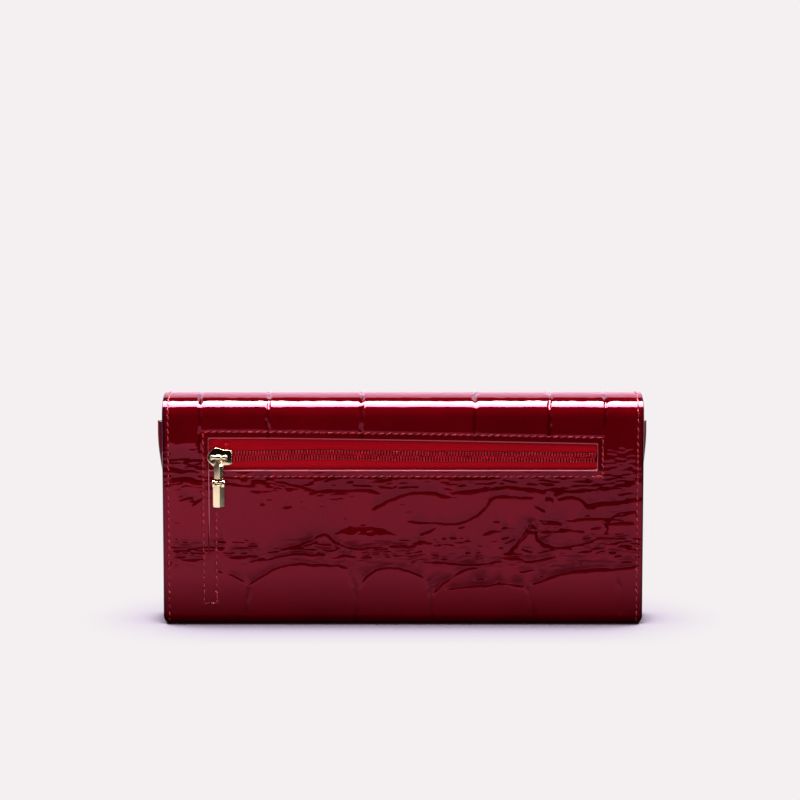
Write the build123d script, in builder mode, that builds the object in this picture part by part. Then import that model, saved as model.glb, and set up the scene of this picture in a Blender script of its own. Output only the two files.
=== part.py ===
"""Long flap wallet with a zipped pocket in its back, as separate leather, lining, board and metal pieces.

Frame: X runs along the wallet's length, -Y is the back with the zip, +Y is the flap's face, +Z is up.
The origin is on the flat foot the wallet stands on, midway along its length. Millimetres.
"""

import os

from build123d import *

os.makedirs("parts", exist_ok=True)

# ---- Driving dimensions --------------------------------------------------------------------------
WIDTH = 195.0  # cover, along X
DEPTH = 31.0  # back face to flap face, along Y
HEIGHT = 93.5  # foot to the top of the roll
SHOULDER_R = 8.5  # roll at the top edges
FOOT_R = 4.0  # turn under the bottom edges
CREASE = 45  # degrees round each bend at which the cover is cut

LEATHER = 1.2
BOARD = 0.5  # stiffening board
LINING = 0.3
SLIP = 0.25  # thin fabric of card pockets and pocket bag
GUSSET = 0.8
GLUE = 0.05  # gap between glued sheets
ROOM = 4.4  # clear depth of each compartment
BAG_DEPTH = 5.1
SNAP_GAP = 1.8  # front panel to flap lining

CARD_ROWS = 4
CARD_GAP = 0.5  # room for one card
CARD_PITCH = CARD_GAP + SLIP

# ---- Layers from back to front -------------------------------------------------------------------
BACK_Y = -DEPTH / 2  # outer face of the back
BACK_INNER_Y = BACK_Y + LEATHER
BAG_FRONT_Y = BACK_INNER_Y + BOARD + GLUE
BAG_BACK_Y = BAG_FRONT_Y + BAG_DEPTH
BACK_LINING_Y = BAG_BACK_Y + 2 * GLUE
REAR_DIVIDER_Y = BACK_LINING_Y + LINING + ROOM
CARDS_END_Y = REAR_DIVIDER_Y + BOARD + CARD_ROWS * CARD_PITCH
FRONT_DIVIDER_Y = CARDS_END_Y + ROOM
SLIP_POCKET_Y = FRONT_DIVIDER_Y + BOARD + CARD_GAP
FRONT_LINING_Y = SLIP_POCKET_Y + SLIP + ROOM
FRONT_INNER_Y = FRONT_LINING_Y + LINING + BOARD
FRONT_Y = FRONT_INNER_Y + LEATHER  # outer face of the front panel
PLUG_Y = FRONT_Y + SNAP_GAP  # inner face of the flap's lining
FLAP_INNER_Y = DEPTH / 2 - LEATHER
FLAP_FILL = FLAP_INNER_Y - PLUG_Y  # board and lining of the flap
FLAP_BOARD = FLAP_FILL / 2

BACK_SHOULDER_Y = BACK_Y + SHOULDER_R
FRONT_SHOULDER_Y = DEPTH / 2 - SHOULDER_R
SHOULDER_Z = HEIGHT - SHOULDER_R
BACK_FOOT_Y = BACK_Y + FOOT_R
FRONT_FOOT_Y = FRONT_Y - FOOT_R

BODY_TOP_Z = 81.5  # top edge of the front panel, gussets and dividers
FLAP_END_Z = 26.0  # lower edge of the flap
FLAP_CORNER_R = 12.0
EDGE_MARGIN = 4.5  # boards stop this far inside the cover's side edges
BOARD_GAP = 1.0  # boards stop this far from the foot's bend and the top edge
LINING_MARGIN = 6.5
LINER_TOP_Z = 84.0
LINER_FOOT_Z = 5.0

# ---- Zip pocket in the back ----------------------------------------------------------------------
ZIP_Z = 69.3  # centre line of the zip
WINDOW_Z = 70.1
WINDOW_LENGTH = 157.2
WINDOW_HEIGHT = 12.4
WINDOW_CORNER_R = 0.8
SLIT_WIDTH = 0.3
SLIT_X = (SLIT_WIDTH - WINDOW_LENGTH) / 2  # slit that runs down from the window's left end
SLIT_FOOT_Z = 30.0

TAPE = 0.5
TAPE_LENGTH = 172.0
TAPE_HEIGHT = 10.8
TAPE_GAP = 0.15  # from the centre line to each tape's edge
TAPE_ROOM = 0.6  # from the tapes to the back board round them
COIL_HEIGHT = 1.95
COIL_DEPTH = 1.1
COIL_GAP = 0.1
COIL_MIDDLE = COIL_GAP + COIL_HEIGHT / 2
COIL_END_X = WINDOW_LENGTH / 2 - COIL_GAP

SLIDER_X = -74.2  # slider's middle, zip closed
SLIDER_PLATE = 0.95
SLIDER_BACK_PLATE = 0.8
SLIDER_LENGTH = 9.8
SLIDER_CLEARANCE = 0.15
NOSE_HALF = 1.05
SHOULDER_X = -1.1  # from the slider's middle
SHOULDER_HALF = 3.8
WAIST_X = 1.6
TAIL_HALF = 2.7
TAIL_CHAMFER = 0.4
SLIDER_WALL = 0.5
POST_X = -2.8  # wedge that parts the chain, from the slider's middle
POST_LENGTH = 1.8
POST_WIDTH = 1.1
POST_ROOM = 0.2  # from the wedge to the tapes

BRIDGE_SHIFT = -0.4
BRIDGE_X = SLIDER_X + BRIDGE_SHIFT
BRIDGE_SPAN = 6.2
BRIDGE_BAR = 1.0
BRIDGE_CENTRE = 1.25  # bar's centre above the slider's face
BRIDGE_FOOT_WIDTH = 2.4
BRIDGE_FOOT_LENGTH = 1.0

LINK_WIDTH = 3.7
LINK_NECK_WIDTH = 2.6  # at the pin
LINK_NECK = 1.5
LINK_THICKNESS = 1.1
LINK_EYE_R = 0.75
LINK_EYE_OUTER_R = 1.2
LINK_LENGTH = 10.2  # bridge bar to pin
LINK_BARREL_R = 0.95
PIN_R = 0.5
PIN_CLEARANCE = 0.05

TAB_WIDTH = 4.8
TAB_THICKNESS = 2.2
TAB_LENGTH = 10.5  # below the pin
TAB_SLOT_WIDTH = 2.8
TAB_SLOT_DEPTH = 1.3
TAB_FOOT_R = 1.2

# ---- Coin pocket bag -----------------------------------------------------------------------------
BAG_HALF_LENGTH = 88.0
BAG_FOOT_Z = 9.0
BAG_TOP_Z = 81.0
BAG_MOUTH_LENGTH = 164.0
BAG_MOUTH_HEIGHT = 14.0

# ---- Inside dividers -----------------------------------------------------------------------------
DIVIDER_HALF = 88.0
DIVIDER_FOOT_Z = 4.0
CARD_ROW_TOP_Z = 78.0
CARD_ROW_STEP = 8.0
CARD_HALF_LENGTH = 87.5
HEM_WIDTH = 0.6
SLIP_POCKET_TOP_Z = 62.0

GUSSET_FOOT_Z = 4.2
GUSSET_SEAM_X = 93.6  # inner end of the glued flange
GUSSET_TURN_X = 96.0
GUSSET_TURN = 0.5
GUSSET_SEAM_DEPTH = GUSSET / 2 + GLUE  # middle of the flange under the leather's inner face
GUSSET_INNER_X = 89.2
GUSSET_OUTER_X = 98.2

# ---- Magnetic snap -------------------------------------------------------------------------------
SNAP_Z = 44.0
SNAP_R = 7.0
SNAP_HOLE_R = 3.0
SNAP_PIN_R = 2.5
SNAP_SOCKET_HEIGHT = 1.1
SNAP_PLUG_FLANGE = 0.45
SNAP_PIN_LENGTH = 0.85
SNAP_STEM_R = 1.5
SNAP_WASHER_R = 7.5
SNAP_WASHER_ROOM = 0.5  # from the washers to the boards round them
SNAP_SKIN = 0.25  # sheet metal of the socket's housing


# ---- Section paths of the cover: each runs at a given depth under the outer surface --------------
def back_path(inset):
    """Back shoulder, down the back, under the foot and up to the front crease."""
    CenterArc((BACK_SHOULDER_Y, SHOULDER_Z), SHOULDER_R - inset, 180 - CREASE, CREASE)
    Line((BACK_Y + inset, SHOULDER_Z), (BACK_Y + inset, FOOT_R))
    CenterArc((BACK_FOOT_Y, FOOT_R), FOOT_R - inset, 180, 90)
    Line((BACK_FOOT_Y, inset), (FRONT_FOOT_Y, inset))
    CenterArc((FRONT_FOOT_Y, FOOT_R), FOOT_R - inset, 270, CREASE)


def front_path(inset):
    """From the front crease up the front panel to its top edge."""
    CenterArc((FRONT_FOOT_Y, FOOT_R), FOOT_R - inset, 270 + CREASE, 90 - CREASE)
    Line((FRONT_Y - inset, FOOT_R), (FRONT_Y - inset, BODY_TOP_Z))


def flap_top_path(inset):
    """Over the top, between the two shoulder creases."""
    CenterArc((BACK_SHOULDER_Y, SHOULDER_Z), SHOULDER_R - inset, 180 - CREASE, CREASE - 90)
    Line((BACK_SHOULDER_Y, HEIGHT - inset), (FRONT_SHOULDER_Y, HEIGHT - inset))
    CenterArc((FRONT_SHOULDER_Y, SHOULDER_Z), SHOULDER_R - inset, 90, -CREASE)


def flap_front_path(inset):
    """From the front shoulder crease down to the flap's lower edge."""
    CenterArc((FRONT_SHOULDER_Y, SHOULDER_Z), SHOULDER_R - inset, CREASE, -CREASE)
    Line((DEPTH / 2 - inset, SHOULDER_Z), (DEPTH / 2 - inset, FLAP_END_Z))


def wrap(path, depth, thickness, half_width):
    """Adds a sheet that follows a section path, its outer face at the given depth under the cover's surface."""
    with BuildSketch(Plane.YZ) as section:
        with BuildLine():
            path(depth + thickness / 2)
        trace(line_width=thickness)
    extrude(section.sketch, amount=half_width, both=True)


def plate(y_from, y_to, half_width, z_from, z_to, mode=Mode.ADD):
    """Adds or cuts an upright sheet between two values of Y."""
    with BuildSketch(Plane.XZ.offset(-y_from)) as outline:
        with Locations((0, (z_from + z_to) / 2)):
            Rectangle(2 * half_width, z_to - z_from)
    extrude(outline.sketch, amount=y_from - y_to, mode=mode)


def disc(y_from, y_to, radius, mode=Mode.ADD):
    """Adds or cuts a round disc on the snap's axis, between two values of Y."""
    with BuildSketch(Plane.XZ.offset(-y_from)) as outline:
        with Locations((0, SNAP_Z)):
            Circle(radius)
    extrude(outline.sketch, amount=y_from - y_to, mode=mode)


def finish(builder, name):
    """Names the piece and writes its STEP file."""
    builder.part.label = name
    export_step(builder.part, f"parts/{name}.step")


# ---- Cover: one hide, cut at its three creases ---------------------------------------------------
with BuildPart() as back_cover:
    wrap(back_path, 0, LEATHER, WIDTH / 2)
    with BuildSketch(Plane.XZ.offset(-BACK_Y)):
        with Locations((0, WINDOW_Z)):
            RectangleRounded(WINDOW_LENGTH, WINDOW_HEIGHT, WINDOW_CORNER_R)
        with Locations((SLIT_X, (SLIT_FOOT_Z + WINDOW_Z) / 2)):
            Rectangle(SLIT_WIDTH, WINDOW_Z - SLIT_FOOT_Z)
    extrude(amount=-LEATHER, mode=Mode.SUBTRACT)
finish(back_cover, "back_cover")

with BuildPart() as front_cover:
    wrap(front_path, 0, LEATHER, WIDTH / 2)
    disc(FRONT_Y, FRONT_Y - LEATHER, SNAP_STEM_R, mode=Mode.SUBTRACT)
finish(front_cover, "front_cover")

with BuildPart() as flap_cover_top:
    wrap(flap_top_path, 0, LEATHER, WIDTH / 2)
finish(flap_cover_top, "flap_cover_top")

with BuildPart() as flap_cover_front:
    wrap(flap_front_path, 0, LEATHER, WIDTH / 2)
    fillet(flap_cover_front.edges().filter_by(Axis.Y).group_by(Axis.Z)[0], FLAP_CORNER_R)
finish(flap_cover_front, "flap_cover_front")

# ---- Back: board, zip and pocket bag -------------------------------------------------------------
BOARD_HALF = WIDTH / 2 - EDGE_MARGIN
LINING_HALF = WIDTH / 2 - LINING_MARGIN

with BuildPart() as back_board:
    plate(BACK_INNER_Y, BACK_INNER_Y + BOARD, BOARD_HALF, FOOT_R + BOARD_GAP, LINER_TOP_Z)
    plate(
        BACK_INNER_Y,
        BACK_INNER_Y + BOARD,
        TAPE_LENGTH / 2 + TAPE_ROOM,
        ZIP_Z - TAPE_HEIGHT - TAPE_ROOM,
        ZIP_Z + TAPE_HEIGHT + TAPE_ROOM,
        Mode.SUBTRACT,
    )
finish(back_board, "back_board")

with BuildPart() as back_lining:
    plate(BACK_LINING_Y, BACK_LINING_Y + LINING, LINING_HALF, LINER_FOOT_Z, LINER_TOP_Z)
finish(back_lining, "back_lining")

with BuildPart() as foot_lining:
    with Locations((0, (BACK_FOOT_Y + FRONT_FOOT_Y) / 2, LEATHER + LINING / 2)):
        Box(2 * LINING_HALF, FRONT_FOOT_Y - BACK_FOOT_Y, LINING)
finish(foot_lining, "foot_lining")

POST_END_X = SLIDER_X + POST_X + POST_LENGTH / 2 + SLIDER_CLEARANCE
TAPE_BACK_Y = BACK_INNER_Y + TAPE

for side, name in ((1, "zip_tape_upper"), (-1, "zip_tape_lower")):
    near = ZIP_Z + side * TAPE_GAP
    far = ZIP_Z + side * TAPE_HEIGHT
    with BuildPart() as zip_tape:
        plate(BACK_INNER_Y, TAPE_BACK_Y, TAPE_LENGTH / 2, min(near, far), max(near, far))
        with Locations(((POST_END_X - TAPE_LENGTH / 2) / 2, BACK_INNER_Y + TAPE / 2, ZIP_Z)):
            Box(POST_END_X + TAPE_LENGTH / 2, TAPE, POST_WIDTH + 2 * POST_ROOM, mode=Mode.SUBTRACT)
    finish(zip_tape, name)

for side, name in ((1, "zip_coil_upper"), (-1, "zip_coil_lower")):
    with BuildPart() as zip_coil:
        middle_x = (POST_END_X + COIL_END_X) / 2
        with Locations((middle_x, BACK_INNER_Y - COIL_DEPTH / 2, ZIP_Z + side * COIL_MIDDLE)):
            Box(COIL_END_X - POST_END_X, COIL_DEPTH, COIL_HEIGHT)
        fillet(zip_coil.edges().filter_by(Axis.X).group_by(Axis.Y)[0], COIL_DEPTH / 3)
    finish(zip_coil, name)

with BuildPart() as coin_pocket_bag:
    plate(BAG_FRONT_Y, BAG_BACK_Y, BAG_HALF_LENGTH, BAG_FOOT_Z, BAG_TOP_Z)
    plate(
        BAG_FRONT_Y + SLIP,
        BAG_BACK_Y - SLIP,
        BAG_HALF_LENGTH - SLIP,
        BAG_FOOT_Z + SLIP,
        BAG_TOP_Z - SLIP,
        Mode.SUBTRACT,
    )
    plate(
        BAG_FRONT_Y,
        BAG_FRONT_Y + SLIP,
        BAG_MOUTH_LENGTH / 2,
        ZIP_Z - BAG_MOUTH_HEIGHT / 2,
        ZIP_Z + BAG_MOUTH_HEIGHT / 2,
        Mode.SUBTRACT,
    )
finish(coin_pocket_bag, "coin_pocket_bag")


# ---- Side gussets, folded between back, dividers and front ---------------------------------------
GUSSET_FOLDS = (
    (GUSSET_SEAM_X, BACK_INNER_Y + GUSSET_SEAM_DEPTH),
    (GUSSET_TURN_X, BACK_INNER_Y + GUSSET_SEAM_DEPTH),
    (GUSSET_TURN_X + GUSSET_TURN, BACK_INNER_Y + GUSSET_SEAM_DEPTH + GUSSET_TURN),
    (GUSSET_INNER_X, REAR_DIVIDER_Y + BOARD / 2),
    (GUSSET_OUTER_X, (REAR_DIVIDER_Y + FRONT_DIVIDER_Y + BOARD) / 2),
    (GUSSET_INNER_X, FRONT_DIVIDER_Y + BOARD / 2),
    (GUSSET_TURN_X + GUSSET_TURN, FRONT_INNER_Y - GUSSET_SEAM_DEPTH - GUSSET_TURN),
    (GUSSET_TURN_X, FRONT_INNER_Y - GUSSET_SEAM_DEPTH),
    (GUSSET_SEAM_X, FRONT_INNER_Y - GUSSET_SEAM_DEPTH),
)

for side, name in ((1, "gusset_right"), (-1, "gusset_left")):
    with BuildPart() as gusset:
        with BuildSketch(Plane.XY.offset(GUSSET_FOOT_Z)):
            with BuildLine():
                Polyline(*[(side * x, y) for x, y in GUSSET_FOLDS])
            trace(line_width=GUSSET)
        extrude(amount=BODY_TOP_Z - GUSSET_FOOT_Z)
    finish(gusset, name)

# ---- Front panel: board, lining and the snap's socket --------------------------------------------
with BuildPart() as front_board:
    plate(FRONT_INNER_Y - BOARD, FRONT_INNER_Y, BOARD_HALF, LINER_FOOT_Z, BODY_TOP_Z - BOARD_GAP)
    disc(FRONT_INNER_Y, FRONT_INNER_Y - BOARD, SNAP_WASHER_R + SNAP_WASHER_ROOM, mode=Mode.SUBTRACT)
finish(front_board, "front_board")

with BuildPart() as front_lining:
    plate(FRONT_LINING_Y, FRONT_LINING_Y + LINING, LINING_HALF, LINER_FOOT_Z, BODY_TOP_Z)
finish(front_lining, "front_lining")

SOCKET_FACE_Y = FRONT_Y + SNAP_SOCKET_HEIGHT

with BuildPart() as snap_socket:
    disc(SOCKET_FACE_Y, FRONT_Y, SNAP_R)
    disc(SOCKET_FACE_Y, FRONT_Y + SNAP_SKIN, SNAP_HOLE_R, mode=Mode.SUBTRACT)
    disc(SOCKET_FACE_Y - SNAP_SKIN, FRONT_Y + SNAP_SKIN, SNAP_R - SNAP_SKIN, mode=Mode.SUBTRACT)
    disc(SOCKET_FACE_Y - SNAP_SKIN, FRONT_Y + SNAP_SKIN, SNAP_HOLE_R + SNAP_SKIN)
    disc(SOCKET_FACE_Y, FRONT_Y + SNAP_SKIN, SNAP_HOLE_R, mode=Mode.SUBTRACT)
    disc(FRONT_Y, FRONT_INNER_Y, SNAP_STEM_R)
finish(snap_socket, "snap_socket")

with BuildPart() as snap_magnet:
    disc(SOCKET_FACE_Y - SNAP_SKIN, FRONT_Y + SNAP_SKIN, SNAP_R - SNAP_SKIN)
    disc(SOCKET_FACE_Y - SNAP_SKIN, FRONT_Y + SNAP_SKIN, SNAP_HOLE_R + SNAP_SKIN, mode=Mode.SUBTRACT)
finish(snap_magnet, "snap_magnet")

with BuildPart() as snap_socket_washer:
    disc(FRONT_INNER_Y, FRONT_INNER_Y - BOARD, SNAP_WASHER_R)
finish(snap_socket_washer, "snap_socket_washer")


# ---- Dividers with their pockets -----------------------------------------------------------------
def card_row_face(row):
    """Y of the back face of a card pocket's sheet; row 0 is next to the board."""
    return REAR_DIVIDER_Y + BOARD + CARD_GAP + row * CARD_PITCH


with BuildPart() as rear_divider:
    plate(REAR_DIVIDER_Y, REAR_DIVIDER_Y + BOARD, DIVIDER_HALF, DIVIDER_FOOT_Z, BODY_TOP_Z)
finish(rear_divider, "rear_divider")

for row in range(CARD_ROWS):
    with BuildPart() as card_pocket:
        face = card_row_face(row)
        top = CARD_ROW_TOP_Z - row * CARD_ROW_STEP
        plate(face, face + SLIP, CARD_HALF_LENGTH, DIVIDER_FOOT_Z, top)
    finish(card_pocket, f"card_pocket_{row + 1}")

with BuildPart() as card_pocket_hems:
    for row in range(CARD_ROWS):
        top = CARD_ROW_TOP_Z - row * CARD_ROW_STEP
        height = top - DIVIDER_FOOT_Z
        middle_y = card_row_face(row) - CARD_GAP / 2
        for x in (-CARD_HALF_LENGTH + HEM_WIDTH / 2, 0, CARD_HALF_LENGTH - HEM_WIDTH / 2):
            with Locations((x, middle_y, DIVIDER_FOOT_Z + height / 2)):
                Box(HEM_WIDTH, CARD_GAP, height)
finish(card_pocket_hems, "card_pocket_hems")

with BuildPart() as front_divider:
    plate(FRONT_DIVIDER_Y, FRONT_DIVIDER_Y + BOARD, DIVIDER_HALF, DIVIDER_FOOT_Z, BODY_TOP_Z)
finish(front_divider, "front_divider")

with BuildPart() as slip_pocket:
    plate(SLIP_POCKET_Y, SLIP_POCKET_Y + SLIP, CARD_HALF_LENGTH, DIVIDER_FOOT_Z, SLIP_POCKET_TOP_Z)
    slip_height = SLIP_POCKET_TOP_Z - DIVIDER_FOOT_Z
    for x in (-CARD_HALF_LENGTH + HEM_WIDTH / 2, CARD_HALF_LENGTH - HEM_WIDTH / 2):
        with Locations((x, SLIP_POCKET_Y - CARD_GAP / 2, DIVIDER_FOOT_Z + slip_height / 2)):
            Box(HEM_WIDTH, CARD_GAP, slip_height)
finish(slip_pocket, "slip_pocket")

# ---- Flap: boards, linings and the snap's plug ---------------------------------------------------
FLAP_LINING_Y = FLAP_INNER_Y - FLAP_BOARD

with BuildPart() as flap_lining_top:
    wrap(flap_top_path, LEATHER, FLAP_FILL, LINING_HALF)
finish(flap_lining_top, "flap_lining_top")

with BuildPart() as flap_board:
    plate(FLAP_LINING_Y, FLAP_INNER_Y, BOARD_HALF, FLAP_END_Z + EDGE_MARGIN, SHOULDER_Z)
    fillet(flap_board.edges().filter_by(Axis.Y).group_by(Axis.Z)[0], FLAP_CORNER_R - EDGE_MARGIN / 2)
    disc(FLAP_INNER_Y, FLAP_LINING_Y, SNAP_WASHER_R + SNAP_WASHER_ROOM, mode=Mode.SUBTRACT)
finish(flap_board, "flap_board")

with BuildPart() as flap_lining_front:
    wrap(flap_front_path, LEATHER + FLAP_BOARD, FLAP_FILL - FLAP_BOARD, WIDTH / 2)
    fillet(flap_lining_front.edges().filter_by(Axis.Y).group_by(Axis.Z)[0], FLAP_CORNER_R)
    disc(FLAP_LINING_Y, PLUG_Y, SNAP_STEM_R, mode=Mode.SUBTRACT)
finish(flap_lining_front, "flap_lining_front")

with BuildPart() as snap_plug:
    disc(PLUG_Y, PLUG_Y - SNAP_PLUG_FLANGE, SNAP_R)
    disc(PLUG_Y - SNAP_PLUG_FLANGE, PLUG_Y - SNAP_PLUG_FLANGE - SNAP_PIN_LENGTH, SNAP_PIN_R)
    chamfer(snap_plug.faces().sort_by(Axis.Y)[0].edges(), SNAP_PIN_LENGTH / 2)
    disc(FLAP_LINING_Y, PLUG_Y, SNAP_STEM_R)
finish(snap_plug, "snap_plug")

with BuildPart() as snap_plug_washer:
    disc(FLAP_INNER_Y, FLAP_LINING_Y, SNAP_WASHER_R)
finish(snap_plug_washer, "snap_plug_washer")

# ---- Zip slider ----------------------------------------------------------------------------------
SLIDER_INNER_Y = BACK_Y - SLIDER_CLEARANCE
SLIDER_FACE_Y = SLIDER_INNER_Y - SLIDER_PLATE
SLIDER_BACK_Y = TAPE_BACK_Y + SLIDER_CLEARANCE
SLIDER_PLANE = Plane((SLIDER_X, 0, ZIP_Z), x_dir=(1, 0, 0), z_dir=(0, -1, 0))


def mirrored(half):
    """Closes a half outline, given from left to right, with its reflection below the centre line."""
    return half + tuple((x, -z) for x, z in reversed(half))


SLIDER_OUTLINE = mirrored((
    (-SLIDER_LENGTH / 2, NOSE_HALF),
    (SHOULDER_X, SHOULDER_HALF),
    (WAIST_X, TAIL_HALF),
    (SLIDER_LENGTH / 2 - TAIL_CHAMFER, TAIL_HALF),
    (SLIDER_LENGTH / 2, TAIL_HALF - TAIL_CHAMFER),
))
SLIDER_CHANNEL = mirrored((
    (-SLIDER_LENGTH, SLIDER_LENGTH),
    (SHOULDER_X, SLIDER_LENGTH),
    (SHOULDER_X, SHOULDER_HALF - SLIDER_WALL),
    (WAIST_X, TAIL_HALF - SLIDER_WALL),
    (SLIDER_LENGTH, TAIL_HALF - SLIDER_WALL),
))

with BuildPart() as slider_body:
    with BuildSketch(SLIDER_PLANE.offset(-SLIDER_INNER_Y)):
        Polygon(*SLIDER_OUTLINE, align=None)
    extrude(amount=SLIDER_PLATE)
    with BuildSketch(SLIDER_PLANE.offset(-SLIDER_INNER_Y)):
        Polygon(*SLIDER_OUTLINE, align=None)
        Polygon(*SLIDER_CHANNEL, align=None, mode=Mode.SUBTRACT)
    extrude(amount=-(BACK_INNER_Y - SLIDER_CLEARANCE - SLIDER_INNER_Y))
    with BuildSketch(SLIDER_PLANE.offset(-SLIDER_BACK_Y)):
        Polygon(*SLIDER_OUTLINE, align=None)
    extrude(amount=-SLIDER_BACK_PLATE)
    with BuildSketch(SLIDER_PLANE.offset(-SLIDER_INNER_Y)):
        with Locations((POST_X, 0)):
            SlotOverall(POST_LENGTH, POST_WIDTH)
    extrude(amount=-(SLIDER_BACK_Y - SLIDER_INNER_Y))
finish(slider_body, "slider_body")

BAR_Y = SLIDER_FACE_Y - BRIDGE_CENTRE

with BuildPart() as slider_bridge:
    with Locations((BRIDGE_X, BAR_Y, ZIP_Z)):
        Box(BRIDGE_SPAN, BRIDGE_BAR, BRIDGE_BAR)
    fillet(slider_bridge.edges().filter_by(Axis.X), BRIDGE_BAR / 3)
    foot_height = SLIDER_FACE_Y - BAR_Y + BRIDGE_BAR / 2
    foot_shift = (BRIDGE_SPAN - BRIDGE_FOOT_LENGTH) / 2
    for x in (BRIDGE_X - foot_shift, BRIDGE_X + foot_shift):
        with Locations((x, SLIDER_FACE_Y - foot_height / 2, ZIP_Z)):
            Box(BRIDGE_FOOT_LENGTH, foot_height, BRIDGE_FOOT_WIDTH)
    fillet(slider_bridge.faces().sort_by(Axis.Y)[0].edges().filter_by(Axis.X), BRIDGE_BAR / 4)
finish(slider_bridge, "slider_bridge")

# ---- Pull: link, tab and pin, hanging from the bridge --------------------------------------------
PIN_Z = ZIP_Z - LINK_LENGTH
LINK_PLANE = Plane.YZ.offset(BRIDGE_X)

with BuildPart() as pull_link:
    with BuildSketch(LINK_PLANE):
        with Locations((BAR_Y, (ZIP_Z + PIN_Z + LINK_NECK) / 2)):
            Rectangle(LINK_THICKNESS, LINK_LENGTH - LINK_NECK)
        with Locations((BAR_Y, ZIP_Z)):
            Circle(LINK_EYE_OUTER_R)
            Circle(LINK_EYE_R, mode=Mode.SUBTRACT)
    extrude(amount=LINK_WIDTH / 2, both=True)
    with BuildSketch(LINK_PLANE):
        with Locations((BAR_Y, PIN_Z + LINK_NECK)):
            Rectangle(LINK_THICKNESS, 2 * LINK_NECK)
        with Locations((BAR_Y, PIN_Z)):
            Circle(LINK_BARREL_R)
            Circle(PIN_R + PIN_CLEARANCE, mode=Mode.SUBTRACT)
    extrude(amount=LINK_NECK_WIDTH / 2, both=True)
finish(pull_link, "pull_link")

with BuildPart() as pull_tab:
    with BuildSketch(LINK_PLANE):
        with Locations((BAR_Y, PIN_Z - TAB_LENGTH / 2)):
            Rectangle(TAB_THICKNESS, TAB_LENGTH)
        with Locations((BAR_Y, PIN_Z)):
            Circle(TAB_THICKNESS / 2)
    extrude(amount=TAB_WIDTH / 2, both=True)
    with Locations((BRIDGE_X, BAR_Y, PIN_Z)):
        Box(TAB_SLOT_WIDTH, TAB_THICKNESS, 2 * TAB_SLOT_DEPTH, mode=Mode.SUBTRACT)
        Cylinder(PIN_R, 2 * TAB_WIDTH, rotation=(0, 90, 0), mode=Mode.SUBTRACT)
    fillet(pull_tab.edges().filter_by(Axis.Y).group_by(Axis.Z)[0], TAB_FOOT_R)
finish(pull_tab, "pull_tab")

with BuildPart() as pull_pin:
    with Locations((BRIDGE_X, BAR_Y, PIN_Z)):
        Cylinder(PIN_R, TAB_WIDTH, rotation=(0, 90, 0))
finish(pull_pin, "pull_pin")
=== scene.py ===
import math

import bmesh
import bpy
import numpy as np
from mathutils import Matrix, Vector


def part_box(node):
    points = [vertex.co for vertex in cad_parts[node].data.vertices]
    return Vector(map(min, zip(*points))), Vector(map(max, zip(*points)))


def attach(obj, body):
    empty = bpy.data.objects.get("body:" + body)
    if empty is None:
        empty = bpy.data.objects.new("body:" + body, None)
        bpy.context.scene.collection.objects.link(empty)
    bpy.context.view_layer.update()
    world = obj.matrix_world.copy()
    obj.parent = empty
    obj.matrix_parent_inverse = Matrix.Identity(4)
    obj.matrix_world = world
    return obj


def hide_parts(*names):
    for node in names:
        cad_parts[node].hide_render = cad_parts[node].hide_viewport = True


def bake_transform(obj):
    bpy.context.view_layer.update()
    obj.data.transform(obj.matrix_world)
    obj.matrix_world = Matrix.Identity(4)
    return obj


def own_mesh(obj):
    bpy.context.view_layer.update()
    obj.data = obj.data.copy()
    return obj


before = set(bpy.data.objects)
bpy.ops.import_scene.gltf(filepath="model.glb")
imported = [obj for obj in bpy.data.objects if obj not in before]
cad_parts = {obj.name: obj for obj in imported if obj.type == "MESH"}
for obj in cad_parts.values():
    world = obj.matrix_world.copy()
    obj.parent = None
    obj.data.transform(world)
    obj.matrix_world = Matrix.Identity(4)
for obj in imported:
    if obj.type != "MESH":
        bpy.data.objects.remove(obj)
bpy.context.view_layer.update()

MM = 0.001

# ---- Sizes in millimetres, most of them read off the frame --------------------------------------------


def box_mm(node):
    """Lowest and highest corner of a CAD node, in millimetres."""
    low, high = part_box(node)
    return np.array(low) / MM, np.array(high) / MM


def centre_mm(node):
    """Middle of a CAD node's box, in millimetres."""
    return sum(box_mm(node)) / 2


back_low, back_high = box_mm("back_cover")
front_high = box_mm("front_cover")[1]
roll_high = box_mm("flap_cover_top")[1]
flap_low, flap_high = box_mm("flap_cover_front")

HALF_WIDTH = back_high[0]
BACK_Y = back_low[1]
FLAP_Y = flap_high[1]
TOP_Z = roll_high[2]
FRONT_Y = front_high[1]
BODY_TOP_Z = front_high[2]
FLAP_END_Z = flap_low[2]
SHOULDER_R = 8.5
FOOT_R = 4.0
LEATHER = 1.2
FLAP_CORNER_R = 12.0
SHOULDER_Z = TOP_Z - SHOULDER_R
BACK_FOOT_Y = BACK_Y + FOOT_R
FRONT_FOOT_Y = FRONT_Y - FOOT_R

ZIP_Z = (box_mm("zip_tape_upper")[1][2] + box_mm("zip_tape_lower")[0][2]) / 2
WINDOW_Z = 70.1
WINDOW_HALF = 78.6
WINDOW_HALF_HEIGHT = 6.2
WINDOW_CORNER_R = 0.8
SLIT_WIDTH = 0.06
SLIT_X = -WINDOW_HALF - 0.3
SLIT_RIGHT_X = SLIT_X + SLIT_WIDTH
WINDOW_DROOP = 2.3
SLIT_FOOT_Z = 30.0

STITCH_PITCH = 2.95
STITCH_INSET = 2.4
STITCH_GROOVE = 0.14
WINDOW_STITCH_X = 2.3
WINDOW_STITCH_Z = 2.75
TAIL_STITCH_X = 2.9
TAIL_FOOT_Z = 8.8

GRID = 0.46
COARSE_GRID = 0.6

rng = np.random.default_rng(7)


# ---- Smooth random fields -----------------------------------------------------------------------------
def make_lattice(size=64):
    """Random values on a wrapping square lattice."""
    return rng.random((size, size)) * 2 - 1


LATTICES = [make_lattice() for _ in range(6)]


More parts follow.
